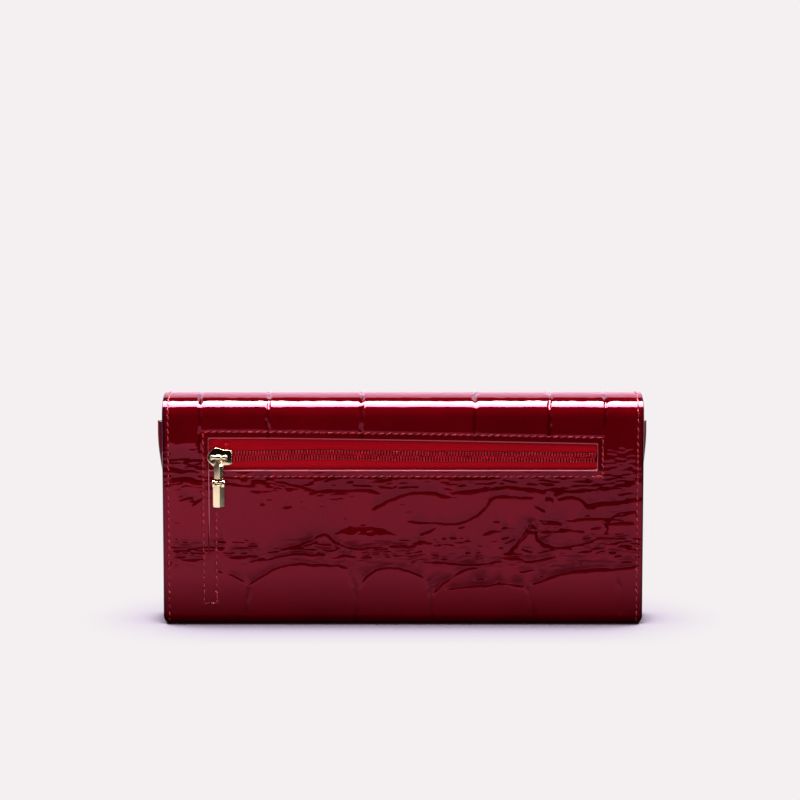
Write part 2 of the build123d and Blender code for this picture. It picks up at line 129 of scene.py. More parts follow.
def noise(x, y, layer=0):
    """Value noise in -1..1 with one lattice cell per unit."""
    lattice = LATTICES[layer]
    size = lattice.shape[0]
    ix, iy = np.floor(x).astype(int), np.floor(y).astype(int)
    fx, fy = x - ix, y - iy
    fx, fy = fx * fx * (3 - 2 * fx), fy * fy * (3 - 2 * fy)
    a = lattice[ix % size, iy % size]
    b = lattice[(ix + 1) % size, iy % size]
    c = lattice[ix % size, (iy + 1) % size]
    d = lattice[(ix + 1) % size, (iy + 1) % size]
    return (a * (1 - fx) + b * fx) * (1 - fy) + (c * (1 - fx) + d * fx) * fy


def smoothstep(low, high, value):
    t = np.clip((value - low) / (high - low), 0, 1)
    return t * t * (3 - 2 * t)


# ---- The hide's course --------------------------------------------------------------------------------
# t is the length along the hide's outer face. On the back it equals Z; it grows over the roll and down the flap,
# and falls under the foot and up the front panel.
QUARTER = math.pi / 2
ROLL_POWER = 2.25  # between an ellipse (2) and a rounded box


def arc_points(y, z, radius, start, end):
    """Points (y, z) of an arc round (y, z), between two angles in degrees."""
    angles = np.radians(np.linspace(start, end, 400))
    return np.stack([y + radius * np.cos(angles), z + radius * np.sin(angles)], -1)


def course_table():
    """Dense points along the hide from the front panel's top edge to the flap's end, with their t."""
    turn = np.linspace(0, math.pi, 3000)
    half_depth = (FLAP_Y - BACK_Y) / 2
    across = -np.sign(np.cos(turn)) * np.abs(np.cos(turn)) ** (2 / ROLL_POWER)
    roll = np.stack(
        [
            (FLAP_Y + BACK_Y) / 2 + half_depth * across,
            SHOULDER_Z + SHOULDER_R * np.sin(turn) ** (2 / ROLL_POWER),
        ],
        -1,
    )
    runs = [
        [(FRONT_Y, BODY_TOP_Z)],
        arc_points(FRONT_FOOT_Y, FOOT_R, FOOT_R, 0, -90),
        arc_points(BACK_FOOT_Y, FOOT_R, FOOT_R, -90, -180),
        roll,
        [(FLAP_Y, FLAP_END_Z)],
    ]
    rough = np.concatenate([np.array(run, float) for run in runs])
    length = np.r_[0, np.cumsum(np.hypot(*np.diff(rough, axis=0).T))]
    length += SHOULDER_Z - length[1 + 2 * 400]
    even = np.arange(length[0], length[-1], 0.02)
    even = np.r_[even, length[-1]]
    points = np.stack([np.interp(even, length, rough[:, 0]), np.interp(even, length, rough[:, 1])], -1)
    ahead = np.gradient(points, axis=0)
    ahead /= np.linalg.norm(ahead, axis=1)[:, None]
    return even, points, np.stack([-ahead[:, 1], ahead[:, 0]], -1), length


COURSE_T, COURSE, COURSE_OUT, RUN_T = course_table()
T_BACK_HIGH = SHOULDER_Z
T_FRONT_END = RUN_T[0]
T_FOOT_LOW = RUN_T[400]
T_FOOT_HIGH = RUN_T[401]
T_FLAP_LOW = RUN_T[-2]
T_FLAP_END = RUN_T[-1]
T_MID_TOP = (T_BACK_HIGH + T_FLAP_LOW) / 2
T_MID_FOOT = (T_FOOT_LOW + T_FOOT_HIGH) / 2


def hide_course(t):
    """Y, Z and outward normal (ny, nz) of the hide's outer face at t."""
    return tuple(
        np.interp(t, COURSE_T, column) for column in (COURSE[:, 0], COURSE[:, 1], COURSE_OUT[:, 0], COURSE_OUT[:, 1])
    )


def on_hide(x, t, height):
    """Points over the hide, in millimetres, at a height above its outer face."""
    y, z, ny, nz = hide_course(t)
    return np.stack([x + 0 * t, y + ny * height, z + nz * height], -1)


def flap_half_width(t):
    """Half width of the hide at t: full, but rounded off at the flap's two lower corners."""
    into = np.clip(t - (T_FLAP_END - FLAP_CORNER_R), 0, FLAP_CORNER_R)
    return HALF_WIDTH - FLAP_CORNER_R + np.sqrt(FLAP_CORNER_R**2 - into**2)


# ---- Croc relief --------------------------------------------------------------------------------------
# Creases of the back: (depth, half width, [(x, t), ...]). The outlines of the plates come first,
# then the shorter folds inside and between them, most of them of one of three kinds.
FAINT = (0.08, 0.45)
SMALL = (0.13, 0.70)
BROAD = (0.20, 1.10)
CREASES = [
    (0.30, 0.55, [(-82, 66), (-82.4, 80), (-82, 92), (-81.6, 118)]),
    (0.34, 0.60, [(-55.2, 72), (-54.4, 84), (-54.6, 98), (-55.6, 124)]),
    (0.32, 0.60, [(-17.2, 74), (-16.4, 86), (-16.8, 98), (-15.8, 124)]),
    (0.34, 0.60, [(28.4, 72), (29.2, 82), (29.8, 94), (29, 124)]),
    (0.32, 0.60, [(58.6, 72), (59.3, 84), (59.6, 96), (60.4, 124)]),
    (0.22, 0.50, [(81.4, 80), (82.2, 92), (81.6, 120)]),
    (0.10, 0.80, [(-63.4, 3), (-63.2, 9), (-62.2, 16.3)]),
    (0.20, 0.55, [(-62.2, 16.3), (-59, 18.6), (-53.9, 22.5), (-48.7, 24.5), (-42.2, 25.5), (-35.8, 24.8),
                  (-29.3, 24.8), (-22.3, 23.2)]),
    (0.10, 0.80, [(-22.3, 23.2), (-19.7, 17.6), (-18.7, 9), (-18.9, 1)]),
    (0.18, 0.50, [(-17.8, 15.5), (-15.2, 19.6), (-11.3, 22.9), (-6.8, 23.9), (-2.3, 23.7), (0.1, 23.2),
                  (4, 21.9), (8.5, 19.3)]),
    (0.10, 0.75, [(8.5, 19.3), (11.2, 15.7), (11.7, 9), (12, 1)]),
    (0.15, 0.50, [(12.6, 12.6), (16.2, 16.7), (20.1, 20.3), (23.3, 22.2), (26.5, 23.3), (31, 23.6)]),
    (0.12, 0.45, [(18.2, 14.7), (23, 15.4), (27.8, 16), (34.3, 16), (40, 16.8), (44.6, 16.3), (48.5, 15.7)]),
    (0.08, 0.80, [(48.5, 15.7), (51.7, 12.4), (53.6, 6.5), (54, 0)]),
    (0.34, 0.80, [(51.7, 16.7), (55.6, 17.6), (60.1, 19.9), (66.5, 21.6), (76.2, 22.5), (85.2, 22.9),
                  (92.3, 23.5), (97, 24.4)]),
    (0.07, 0.70, [(87.8, 19), (88.4, 12), (88.8, 4)]),
    (0.07, 0.70, [(-77, 22.5), (-71, 21.4), (-67, 19.4), (-64, 17)]),
    (0.22, 0.55, [(-50, 30.7), (-43.5, 32.4), (-38.4, 34.3), (-34.5, 37), (-31.9, 37.6), (-29.4, 35.3),
                  (-26.1, 33), (-21.6, 31.4), (-14.5, 31.7), (-8.7, 32), (-2.3, 32.4), (4, 33.9), (9, 34)]),
    (0.10, 0.50, [(-31.9, 38.4), (-31.8, 42), (-32, 47)]),
    (0.24, 0.60, [(-37.1, 54), (-32.6, 55), (-26.1, 55.6), (-21.6, 55.3), (-16, 55.6), (-10, 54.6)]),
    (0.24, 0.60, [(-11.9, 47.8), (-8.7, 49.7), (-5.5, 51.7), (-1.2, 53.2), (4, 54.4), (9.8, 54.4), (17.5, 52.7)]),
    (0.16, 0.50, [(-60.3, 59.9), (-55.2, 58.2)]),
    (0.17, 0.50, [(-51.3, 59.2), (-45.5, 57.9), (-37.1, 55.6)]),
    (0.30, 0.75, [(19.4, 54.6), (26.5, 54.6), (32.3, 55.6), (38.8, 56.3), (44, 56.9), (50.4, 56.3), (56.9, 54.6)]),
    (0.17, 0.45, [(34.3, 50.1), (36.9, 52.7), (42.7, 52.7), (47.8, 53), (51.7, 52.4)]),
    (0.13, 0.40, [(34.3, 50.1), (30.4, 45.1), (26.5, 43.2), (20.7, 41.5), (14.3, 41.9), (9.1, 42.3), (2.6, 42.4)]),
    (0.12, 0.40, [(13, 40.2), (7.2, 36.6)]),
    (0.26, 0.70, [(63.9, 51.7), (67.2, 52.7), (71.7, 52), (74.9, 49.1), (77.4, 48)]),
    (0.36, 1.00, [(74.9, 48.6), (82, 50.3), (89.1, 50.9), (97, 52)]),
    (0.22, 0.60, [(54.3, 49.1), (57.5, 46.5)]),
    (0.10, 0.50, [(60.7, 53.7), (61.4, 47.8)]),
    (0.17, 0.50, [(11.7, 26.2), (20.1, 25.5), (31, 24.8), (37.5, 25.5), (42.7, 28.1), (45.9, 32)]),
    (0.75, 0.95, [(42.4, 29.8), (45.9, 32.8), (48.5, 36.4), (51, 40.6), (53, 43.4)]),
    (0.55, 0.75, [(53, 42.9), (54.9, 37.9), (56.2, 34), (60.1, 32)]),
    (0.17, 0.50, [(60.1, 32), (63.9, 31.7), (69.7, 32.7), (76.2, 34.3), (80, 36)]),
    (0.15, 0.50, [(80, 36), (82.3, 39.2), (83.3, 42.9), (85.9, 44.8), (92, 45.4)]),
    (0.16, 0.45, [(43.3, 28.4), (47.2, 26.8), (51, 25.5), (54.9, 26.5), (62, 28.4)]),
    (0.24, 0.60, [(54.9, 43.2), (60, 42.9), (65.9, 40.9)]),
    (0.24, 0.60, [(55.6, 38.6), (62, 38.4), (69, 39.2)]),
    (0.16, 0.45, [(70, 43.4), (78, 43.9), (84, 43.2)]),
    (0.24, 0.70, [(-97, 63.8), (-90, 63.6), (-85, 63.4)]),
    (0.32, 0.95, [(-94, 59.4), (-87.4, 60.6), (-82.2, 58)]),
    (0.15, 0.45, [(-90, 51.4), (-85.5, 52.7)]),
    (0.15, 0.50, [(-84.5, 49.7), (-81.6, 52.4)]),
    (0.12, 0.40, [(-93.2, 30.4), (-86, 31.2), (-80, 32), (-72, 31.2)]),
    (0.12, 0.40, [(-90.6, 26.8), (-86, 26.5), (-81.6, 27.1)]),
    (0.14, 0.45, [(-69.3, 28.1), (-59, 28.4)]),
    (0.16, 0.45, [(-62.2, 25.8), (-59, 26.9), (-55.8, 26.5)]),
    (0.18, 0.50, [(-53.9, 27.5), (-44.8, 29.4), (-38, 28.9), (-31.3, 29.1)]),
    (0.13, 0.45, [(-26, 28.4), (-19, 28.5)]),
    (*SMALL, [(32, 37.3), (35, 38.3), (39, 39)]),
    (*FAINT, [(22.9, 39.9), (25, 40.7)]),
    (*FAINT, [(36.8, 42.6), (39.2, 42.6)]),
    (*SMALL, [(40, 40.1), (41.1, 40), (42.3, 40.4)]),
    (*FAINT, [(40, 36), (43.8, 36.7)]),
    (*SMALL, [(40, 33.7), (43.8, 34.5), (47.2, 36.4)]),
    (*FAINT, [(37.5, 33), (39, 32.9), (40.7, 29.8)]),
    (*FAINT, [(30.5, 32.6), (34.1, 32.8)]),
    (*FAINT, [(25.9, 29.6), (27.8, 30.4)]),
    (*FAINT, [(14.7, 32.8), (18.1, 33.1), (21.1, 32.4)]),
    (*SMALL, [(15.6, 35.8), (17.7, 35.8)]),
    (*SMALL, [(18.9, 35.7), (21.3, 35.6)]),
    (*FAINT, [(25.3, 34.3), (27.4, 34.3)]),
    (*BROAD, [(50.1, 38), (52.2, 38.5), (53.9, 38.1)]),
    (*BROAD, [(51, 40.4), (52.4, 40.7), (53.5, 40.4)]),
    (*FAINT, [(47.6, 31.7), (49.8, 30.6), (53.6, 30.2)]),
    (*FAINT, [(54.6, 29.6), (56.9, 30.4), (59.5, 30.9)]),
    (*BROAD, [(57.3, 41.7), (60.6, 42.9), (65.5, 40.7)]),
    (*FAINT, [(70.2, 39.2), (73.1, 38.4)]),
    (*SMALL, [(72.4, 44.8), (76.6, 45.2)]),
    (*SMALL, [(82.2, 38.8), (83.4, 42.4), (86.3, 45.2), (88.8, 46.4), (93.9, 46.7)]),
    (*SMALL, [(83.8, 41.4), (89.7, 42), (93.9, 42.2)]),
    (*FAINT, [(76.5, 39.7), (80.1, 40)]),
    (*BROAD, [(84.8, 33.1), (87.7, 34.4), (89.8, 35.2), (94, 34)]),
    (*SMALL, [(87.7, 33.1), (94, 32.4)]),
    (*FAINT, [(75.5, 32.8), (79.3, 31.5)]),
    (*FAINT, [(78.5, 29.4), (81.8, 30.7)]),
    (*SMALL, [(69.2, 29.6), (73.8, 30.2), (77.2, 30.4)]),
    (*FAINT, [(85.2, 27.7), (86.5, 28.2), (89.7, 28.5)]),
    (*FAINT, [(65.4, 25.9), (70, 26)]),
    (*FAINT, [(70.5, 24.4), (73.8, 26)]),
    (*FAINT, [(88.2, 25.7), (94.1, 25.9)]),
    (*FAINT, [(46.4, 21.5), (49.8, 22.1), (53.6, 22.7)]),
    (*FAINT, [(29.3, 18.6), (31.7, 19.3), (34, 18.8)]),
    (*SMALL, [(27.4, 16), (30, 16.3), (32.1, 16), (34.2, 15.4)]),
    (*FAINT, [(38, 17.5), (40.7, 17.2)]),
    (*BROAD, [(44.3, 16.3), (46.5, 16.5), (48.2, 15.2)]),
    (*FAINT, [(54.5, 19.8), (57.8, 20.8)]),
    (*BROAD, [(74.5, 49), (82.1, 49.9), (90.5, 50.3)]),
    (*SMALL, [(-57.4, 49.5), (-56.1, 49.7)]),
    (*FAINT, [(-47.1, 48.1), (-45.4, 49.4)]),
    (*SMALL, [(-49.7, 31.1), (-44.2, 32.4), (-40, 33.6), (-36.6, 35), (-34.5, 36.6), (-31.5, 37)]),
    (*FAINT, [(-42.5, 31.5), (-40, 32.1), (-36.6, 34), (-33.2, 35.1)]),
    (*SMALL, [(-31.5, 36.6), (-28.2, 34.4), (-23.9, 32.4), (-17.8, 31.5)]),
    (*SMALL, [(-30.7, 33.6), (-27.3, 31.8), (-23.1, 30.6), (-17.8, 29.7)]),
    (*FAINT, [(-62.8, 29.7), (-56.9, 29.8)]),
    (*FAINT, [(-55.2, 30.2), (-50.1, 30.1)]),
    (*SMALL, [(-69.6, 27.6), (-65.3, 27.8), (-62.4, 28.5), (-56.9, 28.4), (-54.4, 28.2)]),
    (*FAINT, [(-30.3, 27.6), (-19.7, 28.1)]),
    (*FAINT, [(-86, 31.5), (-82.6, 31.7)]),
    (*FAINT, [(-91.5, 30.5), (-86.4, 30.6)]),
    (*FAINT, [(-92.8, 28), (-88.1, 27.8)]),
    (*SMALL, [(-73.7, 34), (-72, 34.3)]),
    (*FAINT, [(-75, 32.9), (-73.3, 32.8)]),
    (*BROAD, [(-60.8, 59.7), (-56.7, 59.3), (-54.7, 58.5)]),
    (*SMALL, [(-47.6, 56.3), (-46.1, 55.7)]),
    (*FAINT, [(-62.8, 57.7), (-61.8, 57.3)]),
    (*FAINT, [(-71.9, 58), (-66.6, 58)]),
    (*FAINT, [(-55.7, 60.8), (-53.2, 60.1)]),
    (*SMALL, [(-30.9, 61.1), (-27.9, 60.1), (-24.3, 59.8)]),
    (*SMALL, [(-22.8, 59.2), (-19.8, 59.6)]),
    (*FAINT, [(-21.3, 57.8), (-17.7, 57.5), (-12.7, 57.8)]),
    (*SMALL, [(-12.7, 61.1), (-8.6, 60.5), (-2.5, 60.3)]),
    (*FAINT, [(-11.7, 59.3), (-7.6, 58.3), (-2.5, 58.8)]),
    (*BROAD, [(-94.9, 64.9), (-91.6, 64), (-89.6, 62.8)]),
    (*SMALL, [(-95.1, 68), (-90.6, 68.3), (-82, 68)]),
    (*SMALL, [(-95.7, 66.7), (-88.6, 67), (-82.5, 66.5)]),
    (*SMALL, [(-89.6, 65.6), (-82, 65.5)]),
    (*BROAD, [(-86.6, 63.4), (-81.5, 62.9)]),
    (*FAINT, [(-1.5, 56.8), (3, 57), (6.1, 56.7)]),
    (*SMALL, [(38, 57.8), (44.1, 57.5)]),
    (*SMALL, [(49.1, 58), (54.7, 57.8)]),
    (*BROAD, [(57.3, 51.8), (60.3, 52.3)]),
    (*BROAD, [(61.8, 53.7), (64.3, 55.1), (68.4, 55), (74.5, 55.7), (81.6, 56.3), (86.6, 57.3), (93.2, 58.3)]),
    (*SMALL, [(81.5, 59.8), (84.5, 60.6), (89.6, 61.9), (93.1, 62.9)]),
    (*SMALL, [(68.9, 57.3), (74.4, 57.5), (80.5, 57.9), (84.6, 58.8), (93.2, 59.8)]),
    (*FAINT, [(54.2, 59.7), (59.2, 59.2), (63.8, 58.8)]),
    (*FAINT, [(55.2, 58.3), (61.3, 57.7)]),
    (*SMALL, [(57.7, 55.7), (63.8, 56.2), (68.9, 56.5)]),
    (*SMALL, [(86.6, 53.7), (93.2, 54.7)]),
    (*SMALL, [(69.4, 58.8), (74.4, 59.3), (77.5, 59.6)]),
    (*FAINT, [(20.2, 59.7), (25.8, 60), (33.9, 59.7), (39, 60.2)]),
    (*SMALL, [(40.5, 59.7), (47.1, 58.8)]),
]  # fmt: skip
EYE = (-16, 37.8, 11.5, 2.7)  # a raised fold: centre x, t and half sizes


def beside_line(x, t, points):
    """Where each spot lies beside a polyline in (x, t).

    Gives the offset across it (positive above), the distance past its ends, the place along it (0 to 1) and how
    level its nearest run is (0 upright, 1 level).
    """
    points = np.array(points, float)
    spans = np.hypot(*np.diff(points, axis=0).T)
    before = np.r_[0, np.cumsum(spans)]
    upward = 1 if points[-1, 0] >= points[0, 0] else -1
    best = np.full(x.shape, 1e9)
    across, past, place, level = (np.zeros(x.shape) for _ in range(4))
    for i, (start, end) in enumerate(zip(points[:-1], points[1:])):
        ahead = (end - start) / spans[i]
        dx, dt = x - start[0], t - start[1]
        raw = dx * ahead[0] + dt * ahead[1]
        along = np.clip(raw, 0, spans[i])
        side = upward * (dt * ahead[0] - dx * ahead[1])
        distance = np.hypot(side, raw - along)
        nearer = distance < best
        best = np.where(nearer, distance, best)
        across = np.where(nearer, side, across)
        past = np.where(nearer, raw - along, past)
        place = np.where(nearer, (before[i] + along) / before[-1], place)
        level = np.where(nearer, abs(ahead[0]), level)
    return across, past, place, level


def rounded_line(points, rounds=2):
    """Cuts a polyline's corners so that it bends softly."""
    points = np.array(points, float)
    for _ in range(rounds):
        mixed = np.stack([0.75 * points[:-1] + 0.25 * points[1:], 0.25 * points[:-1] + 0.75 * points[1:]], 1)
        points = np.concatenate([points[:1], mixed.reshape(-1, 2), points[-1:]])
    return points


CREASE_REACH = 3.0  # how far above a crease the hide is still drawn in


def crease_relief(x, t):
    """The back's creases: upright ones are grooves, level ones are steps that rise on to the plate below."""
    height = np.zeros(x.shape)
    uneven_x = 0.35 * noise(x / 2.6, t / 2.6, 0) + 0.5 * noise(x / 7, t / 7, 1)
    uneven_t = 0.2 * noise(x / 1.9 + 7, t / 2.2, 2) + 0.35 * noise(x / 8, t / 6 + 3, 3)
    xw, tw = x + uneven_x, t + uneven_t
    for index, (depth, width, line) in enumerate(CREASES):
        line = rounded_line(line)
        low, high = line.min(0) - 9, line.max(0) + 9
        near = (x > low[0]) & (x < high[0]) & (t > low[1]) & (t < high[1])
        if not near.any():
            continue
        across, past, place, level = beside_line(xw[near], tw[near], line)
        length = np.hypot(*np.diff(line, axis=0).T).sum()
        thickness = 2.1 * width * (1 + 0.5 * noise(place * length / 3 + 5.1 * index, 0 * place + index, 2))
        strength = 0.85 + 0.5 * noise(place * length / 4 + 11.3 * index, 0 * place + index, 4)
        strength *= 0.35 + 0.65 * smoothstep(0, min(2.5, length / 3), np.minimum(place, 1 - place) * length)
        strength *= 1 + 1.6 * smoothstep(84, 92, t[near])
        upright = smoothstep(0.75, 0.25, level) + smoothstep(72, 78, t[near])
        upright = np.clip(upright, 0, 1)
        groove = np.exp(-((across / width) ** 2))
        step = smoothstep(-0.5, 0.5, across / thickness) * np.exp(-np.maximum(across, 0) / CREASE_REACH)
        profile = 0.68 * upright * groove + (1 - upright) * step
        height[near] -= (1.25 * depth + 0.075) * strength * profile * np.exp(-((past / 0.6) ** 2))
    return height


# Plates elsewhere run in seeded rows: (x, t, half width, half height).
def scale_rows(t_from, t_to, row_height):
    """Rows of plates of varied width, each row as tall as row_height, in brick order."""
    rows = []
    count = max(1, round(abs(t_to - t_from) / row_height))
    for row in range(count):
        t_mid = t_from + (row + 0.5) * (t_to - t_from) / count
        x = -HALF_WIDTH - 14 * rng.random() - 7 * (row % 2)
        while x < HALF_WIDTH:
            width = 24 + 17 * rng.random()
            lift = 2.5 * (rng.random() - 0.5)
            rows.append((x + width / 2, t_mid + lift, width / 2, row_height / 2 * (0.9 + 0.3 * rng.random())))
            x += width
    return rows


SCALES = np.array(
    scale_rows(T_MID_TOP + 18, T_FLAP_END + 8, 17.5) + scale_rows(T_FOOT_HIGH - 12, T_FRONT_END - 6, 19.0)
)


def scale_gap(x, t):
    """Difference between the two nearest plates' distances, zero on the groove between them."""
    nearest = np.full(x.shape, 1e9)
    second = np.full(x.shape, 1e9)
    for cx, ct, half_width, half_height in SCALES:
        d = (np.abs((x - cx) / half_width) ** 2.6 + np.abs((t - ct) / half_height) ** 2.6) ** (1 / 2.6)
        second = np.minimum(second, np.maximum(d, nearest))
        nearest = np.minimum(nearest, d)
    return second - nearest


def plate_relief(x, t):
    """Rows of plates for the flap, the front and the foot."""
    xw = x + noise(x / 16, t / 16, 0) * 1.6 + noise(x / 5, t / 5, 1) * 0.4
    tw = t + noise(x / 13 + 31, t / 11, 1) * 1.5 + noise(x / 4, t / 4 + 9, 0) * 0.35
    step = 0.05
    gap = scale_gap(xw, tw)
    slope_x = (scale_gap(xw + step, tw) - gap) / step
    slope_t = (scale_gap(xw, tw + step) - gap) / step
    from_groove = gap / np.maximum(np.hypot(slope_x, slope_t), 0.02)
    strength = 0.7 + 0.5 * noise(x / 9, t / 9, 2)
    return -0.2 * strength * np.exp(-((from_groove / 0.6) ** 2)) + 0.07 * (1 - np.exp(-from_groove / 3.5))


def wrinkle_relief(x, t):
    """Short flat folds, crowded under the zip, near the sides and between the rows of plates."""
    under_zip = smoothstep(54, 60, t) * smoothstep(72, 66, t)
    between = smoothstep(23, 27, t) * smoothstep(37, 33, t) * 0.8
    sides = smoothstep(66, 90, x) * smoothstep(24, 34, t) * smoothstep(74, 70, t)
    sides = sides + smoothstep(-70, -84, x) * smoothstep(56, 62, t) * smoothstep(74, 70, t)
    cluster = np.exp(-(((x - 68) / 22) ** 2) - ((t - 38) / 7) ** 2)
    away = smoothstep(T_MID_TOP, T_FLAP_LOW + 4, t) * 0.45 + smoothstep(2, -10, t) * 0.45
    everywhere = 0.2 * smoothstep(74, 68, t) * smoothstep(20, 28, t)
    amount = np.clip(everywhere + under_zip + between + sides + cluster + away, 0, 1.1)
    patches = smoothstep(-0.15, 0.35, noise(x / 11 + 5, t / 4.5, 5) + 0.5 * noise(x / 5, t / 2.5, 3))
    bent = t + 0.9 * noise(x / 9, t / 9, 1) + 0.25 * noise(x / 2.5, t / 2.5, 0)
    folds = noise(x / 5.5 + 3, bent / 1.05, 4)
    fine = noise(x / 3.4, bent / 1.05 + 40, 2)
    height = -0.050 * np.exp(-((folds / 0.24) ** 2)) * patches
    height += 0.075 * fine * (0.35 + 0.65 * patches)
    return height * amount * (1 + 1.3 * smoothstep(50, 20, t))


def relief(x, t):
    """Height of the croc relief over the hide's face, in millimetres."""
    elsewhere = smoothstep(T_MID_TOP + 2, T_MID_TOP + 16, t) + smoothstep(T_MID_FOOT + 8, T_MID_FOOT - 3, t)
    height = crease_relief(x, t) * (1 - elsewhere) + wrinkle_relief(x, t)
    if np.any(elsewhere > 0):
        height = height + plate_relief(x, t) * elsewhere
    cx, ct, half_x, half_t = EYE
    fold = ((x - cx) / half_x) ** 2
    half_t = half_t * np.sqrt(np.maximum(1 - fold, 0.04)) * (1 + 0.35 * noise(x / 2.6, t / 3, 4))
    rise = smoothstep(1.0, -1.0, (t - ct - 1.2 * (1 - fold) + 0.4 * noise(x / 1.8, t / 1.4, 2)) / half_t)
    height = height + 0.34 * rise * np.exp(-(fold**2)) * smoothstep(-9, -2, t - ct)
    upright = smoothstep(72, 84, t)
    streaks = 0.022 * noise(x / 4.2, t / 4, 3) + 0.030 * noise(x / 1.7, t / 2.2, 5)
    calm = 0.02 * noise(x / 26, t / 14, 5) * smoothstep(64, 50, t)
    return height + streaks * upright + calm


def groove_line(distance, depth=STITCH_GROOVE, width=0.55):
    """Shallow channel that a stitch row pulls into the leather."""
    return -depth * np.exp(-((distance / width) ** 2))


def rounded_rim(distance, radius):
    """How far a rounded edge falls at a distance in from it."""
    d = np.clip(distance, 0, radius)
    return -(radius - np.sqrt(np.maximum(radius**2 - (radius - d) ** 2, 0)))


def rectangle_distance(x, z, x_low, x_high, z_low, z_high):
    """Signed distance from a rectangle's outline, negative inside."""
    dx = np.maximum(x_low - x, x - x_high)
    dz = np.maximum(z_low - z, z - z_high)
    outside = np.hypot(np.maximum(dx, 0), np.maximum(dz, 0))
    return outside + np.minimum(np.maximum(dx, dz), 0)


EDGE_R = 0.45
WINDOW_EDGE_R = 0.30
WINDOW_LOW = WINDOW_Z - WINDOW_HALF_HEIGHT
WINDOW_HIGH = WINDOW_Z + WINDOW_HALF_HEIGHT


def droop(x, t):
    """How far the window's upper edge sinks towards its right end."""
    along = np.clip((x + 60) / 139, 0, 1) ** 1.25
    reach = smoothstep(WINDOW_LOW + 1, WINDOW_HIGH - 0.5, t) * smoothstep(93, WINDOW_HIGH + 4, t)
    return (WINDOW_DROOP * along - 0.4) * reach


def border_distance(x, t):
    """Distance in from the hide's nearest outer edge."""
    side = flap_half_width(t) - np.abs(x)
    return side, np.minimum(T_FLAP_END - t, t - T_FRONT_END)


def window_distance(x, t):
    return rectangle_distance(x, t, -WINDOW_HALF, WINDOW_HALF, WINDOW_LOW, WINDOW_HIGH)


def slit_distance(x, t):
    return rectangle_distance(x, t, SLIT_X, SLIT_RIGHT_X, SLIT_FOOT_Z, WINDOW_Z)


def hide_height(x, t):
    """Height of the hide's face with its relief, stitch channels and rounded edges."""
    side, end = border_distance(x, t)
    border = np.minimum(side, end)
    row = np.abs(HALF_WIDTH - STITCH_INSET - np.abs(x))
    row = np.where(t > T_FLAP_END - FLAP_CORNER_R, np.abs(border - STITCH_INSET), row)
    row = np.minimum(row, np.abs(end - STITCH_INSET) + 10 * (side < STITCH_INSET))
    window = window_distance(x, t)
    flatten = smoothstep(0.3, 2.6, border) * smoothstep(0.2, 4.2, window)
    height = relief(x, t - droop(x, t)) * (0.12 + 0.88 * flatten)
    height += groove_line(row)
    row_x = WINDOW_HALF + WINDOW_STITCH_X
    row_low, row_high = WINDOW_LOW - WINDOW_STITCH_Z, WINDOW_HIGH + WINDOW_STITCH_Z
    height += groove_line(np.abs(rectangle_distance(x, t, -row_x, row_x, row_low, row_high)), depth=0.09)
    tail_reach = 30 * ((t > row_low) | (t < TAIL_FOOT_Z))
    height += groove_line(np.abs(x + row_x) + tail_reach, depth=0.09)
    height += groove_line(np.abs(x + WINDOW_HALF - TAIL_STITCH_X) + tail_reach, depth=0.09)
    height += rounded_rim(border, EDGE_R)
    height += rounded_rim(window, WINDOW_EDGE_R)
    lip = (x > SLIT_X) & (t < WINDOW_LOW) & (t > SLIT_FOOT_Z)
    raised = 0.22 * np.exp(-np.abs(x - SLIT_RIGHT_X) / 1.1) * smoothstep(SLIT_FOOT_Z, SLIT_FOOT_Z + 16, t)
    height += np.where(lip, raised, 0)
    height += rounded_rim(slit_distance(x, t), 0.28)
    return height


# ---- Mesh building ------------------------------------------------------------------------------------
def axis_points(low, high, step, breaks, fine=(0.0, 0.13, 0.3)):
    """Values from low to high about a step apart, that include each break and a few close to it."""
    marks = [low, high] + [b for b in breaks if low <= b <= high]
    values = set()
    ordered = sorted(set(marks))
    for a, b in zip(ordered[:-1], ordered[1:]):
        count = max(1, round((b - a) / step))
        values.update(np.round(np.linspace(a, b, count + 1), 5))
    for mark in marks:
        for offset in fine:
            for value in (mark - offset, mark + offset):
                if low <= value <= high:
                    values.add(round(value, 5))
    values = np.array(sorted(values))
    keep = np.r_[True, np.diff(values) > 0.04]
    return values[keep]


def mesh_object(name, vertices, faces, materials, attributes=None):
    """A smooth-shaded mesh in the row frame, from vertices in millimetres."""
    mesh = bpy.data.meshes.new(name)
    mesh.from_pydata([tuple(v) for v in np.asarray(vertices) * MM], [], [tuple(f) for f in faces])
    mesh.update()
    for key, values in (attributes or {}).items():
        layer = mesh.attributes.new(key, "FLOAT", "POINT")
        layer.data.foreach_set("value", np.asarray(values, np.float32))
    return in_scene(name, mesh, materials)


def in_scene(name, mesh, materials):
    """An object that holds the mesh, smooth-shaded and linked to the scene."""
    for material in materials:
        mesh.materials.append(material)
    mesh.polygons.foreach_set("use_smooth", [True] * len(mesh.polygons))
    piece = bpy.data.objects.new(name, mesh)
    bpy.context.scene.collection.objects.link(piece)
    return piece


def grid_faces(rows, columns, keep=None):
    """Quads of a rows by columns grid of vertices; keep is a mask over the quads."""
    index = np.arange(rows * columns).reshape(rows, columns)
    quads = np.stack([index[:-1, :-1], index[:-1, 1:], index[1:, 1:], index[1:, :-1]], -1)
    if keep is not None:
        return quads[keep]
    return quads.reshape(-1, 4)


def ring_faces(rings, sides, capped=False):
    """Quads between rings of vertices that follow one another, and with capped a face over each end."""
    faces = []
    for base in range(0, (rings - 1) * sides, sides):
        for k in range(sides):
            after = (k + 1) % sides
            faces.append((base + k, base + after, base + sides + after, base + sides + k))
    if capped:
        faces.append(tuple(range(sides))[::-1])
        faces.append(tuple((rings - 1) * sides + k for k in range(sides)))
    return faces


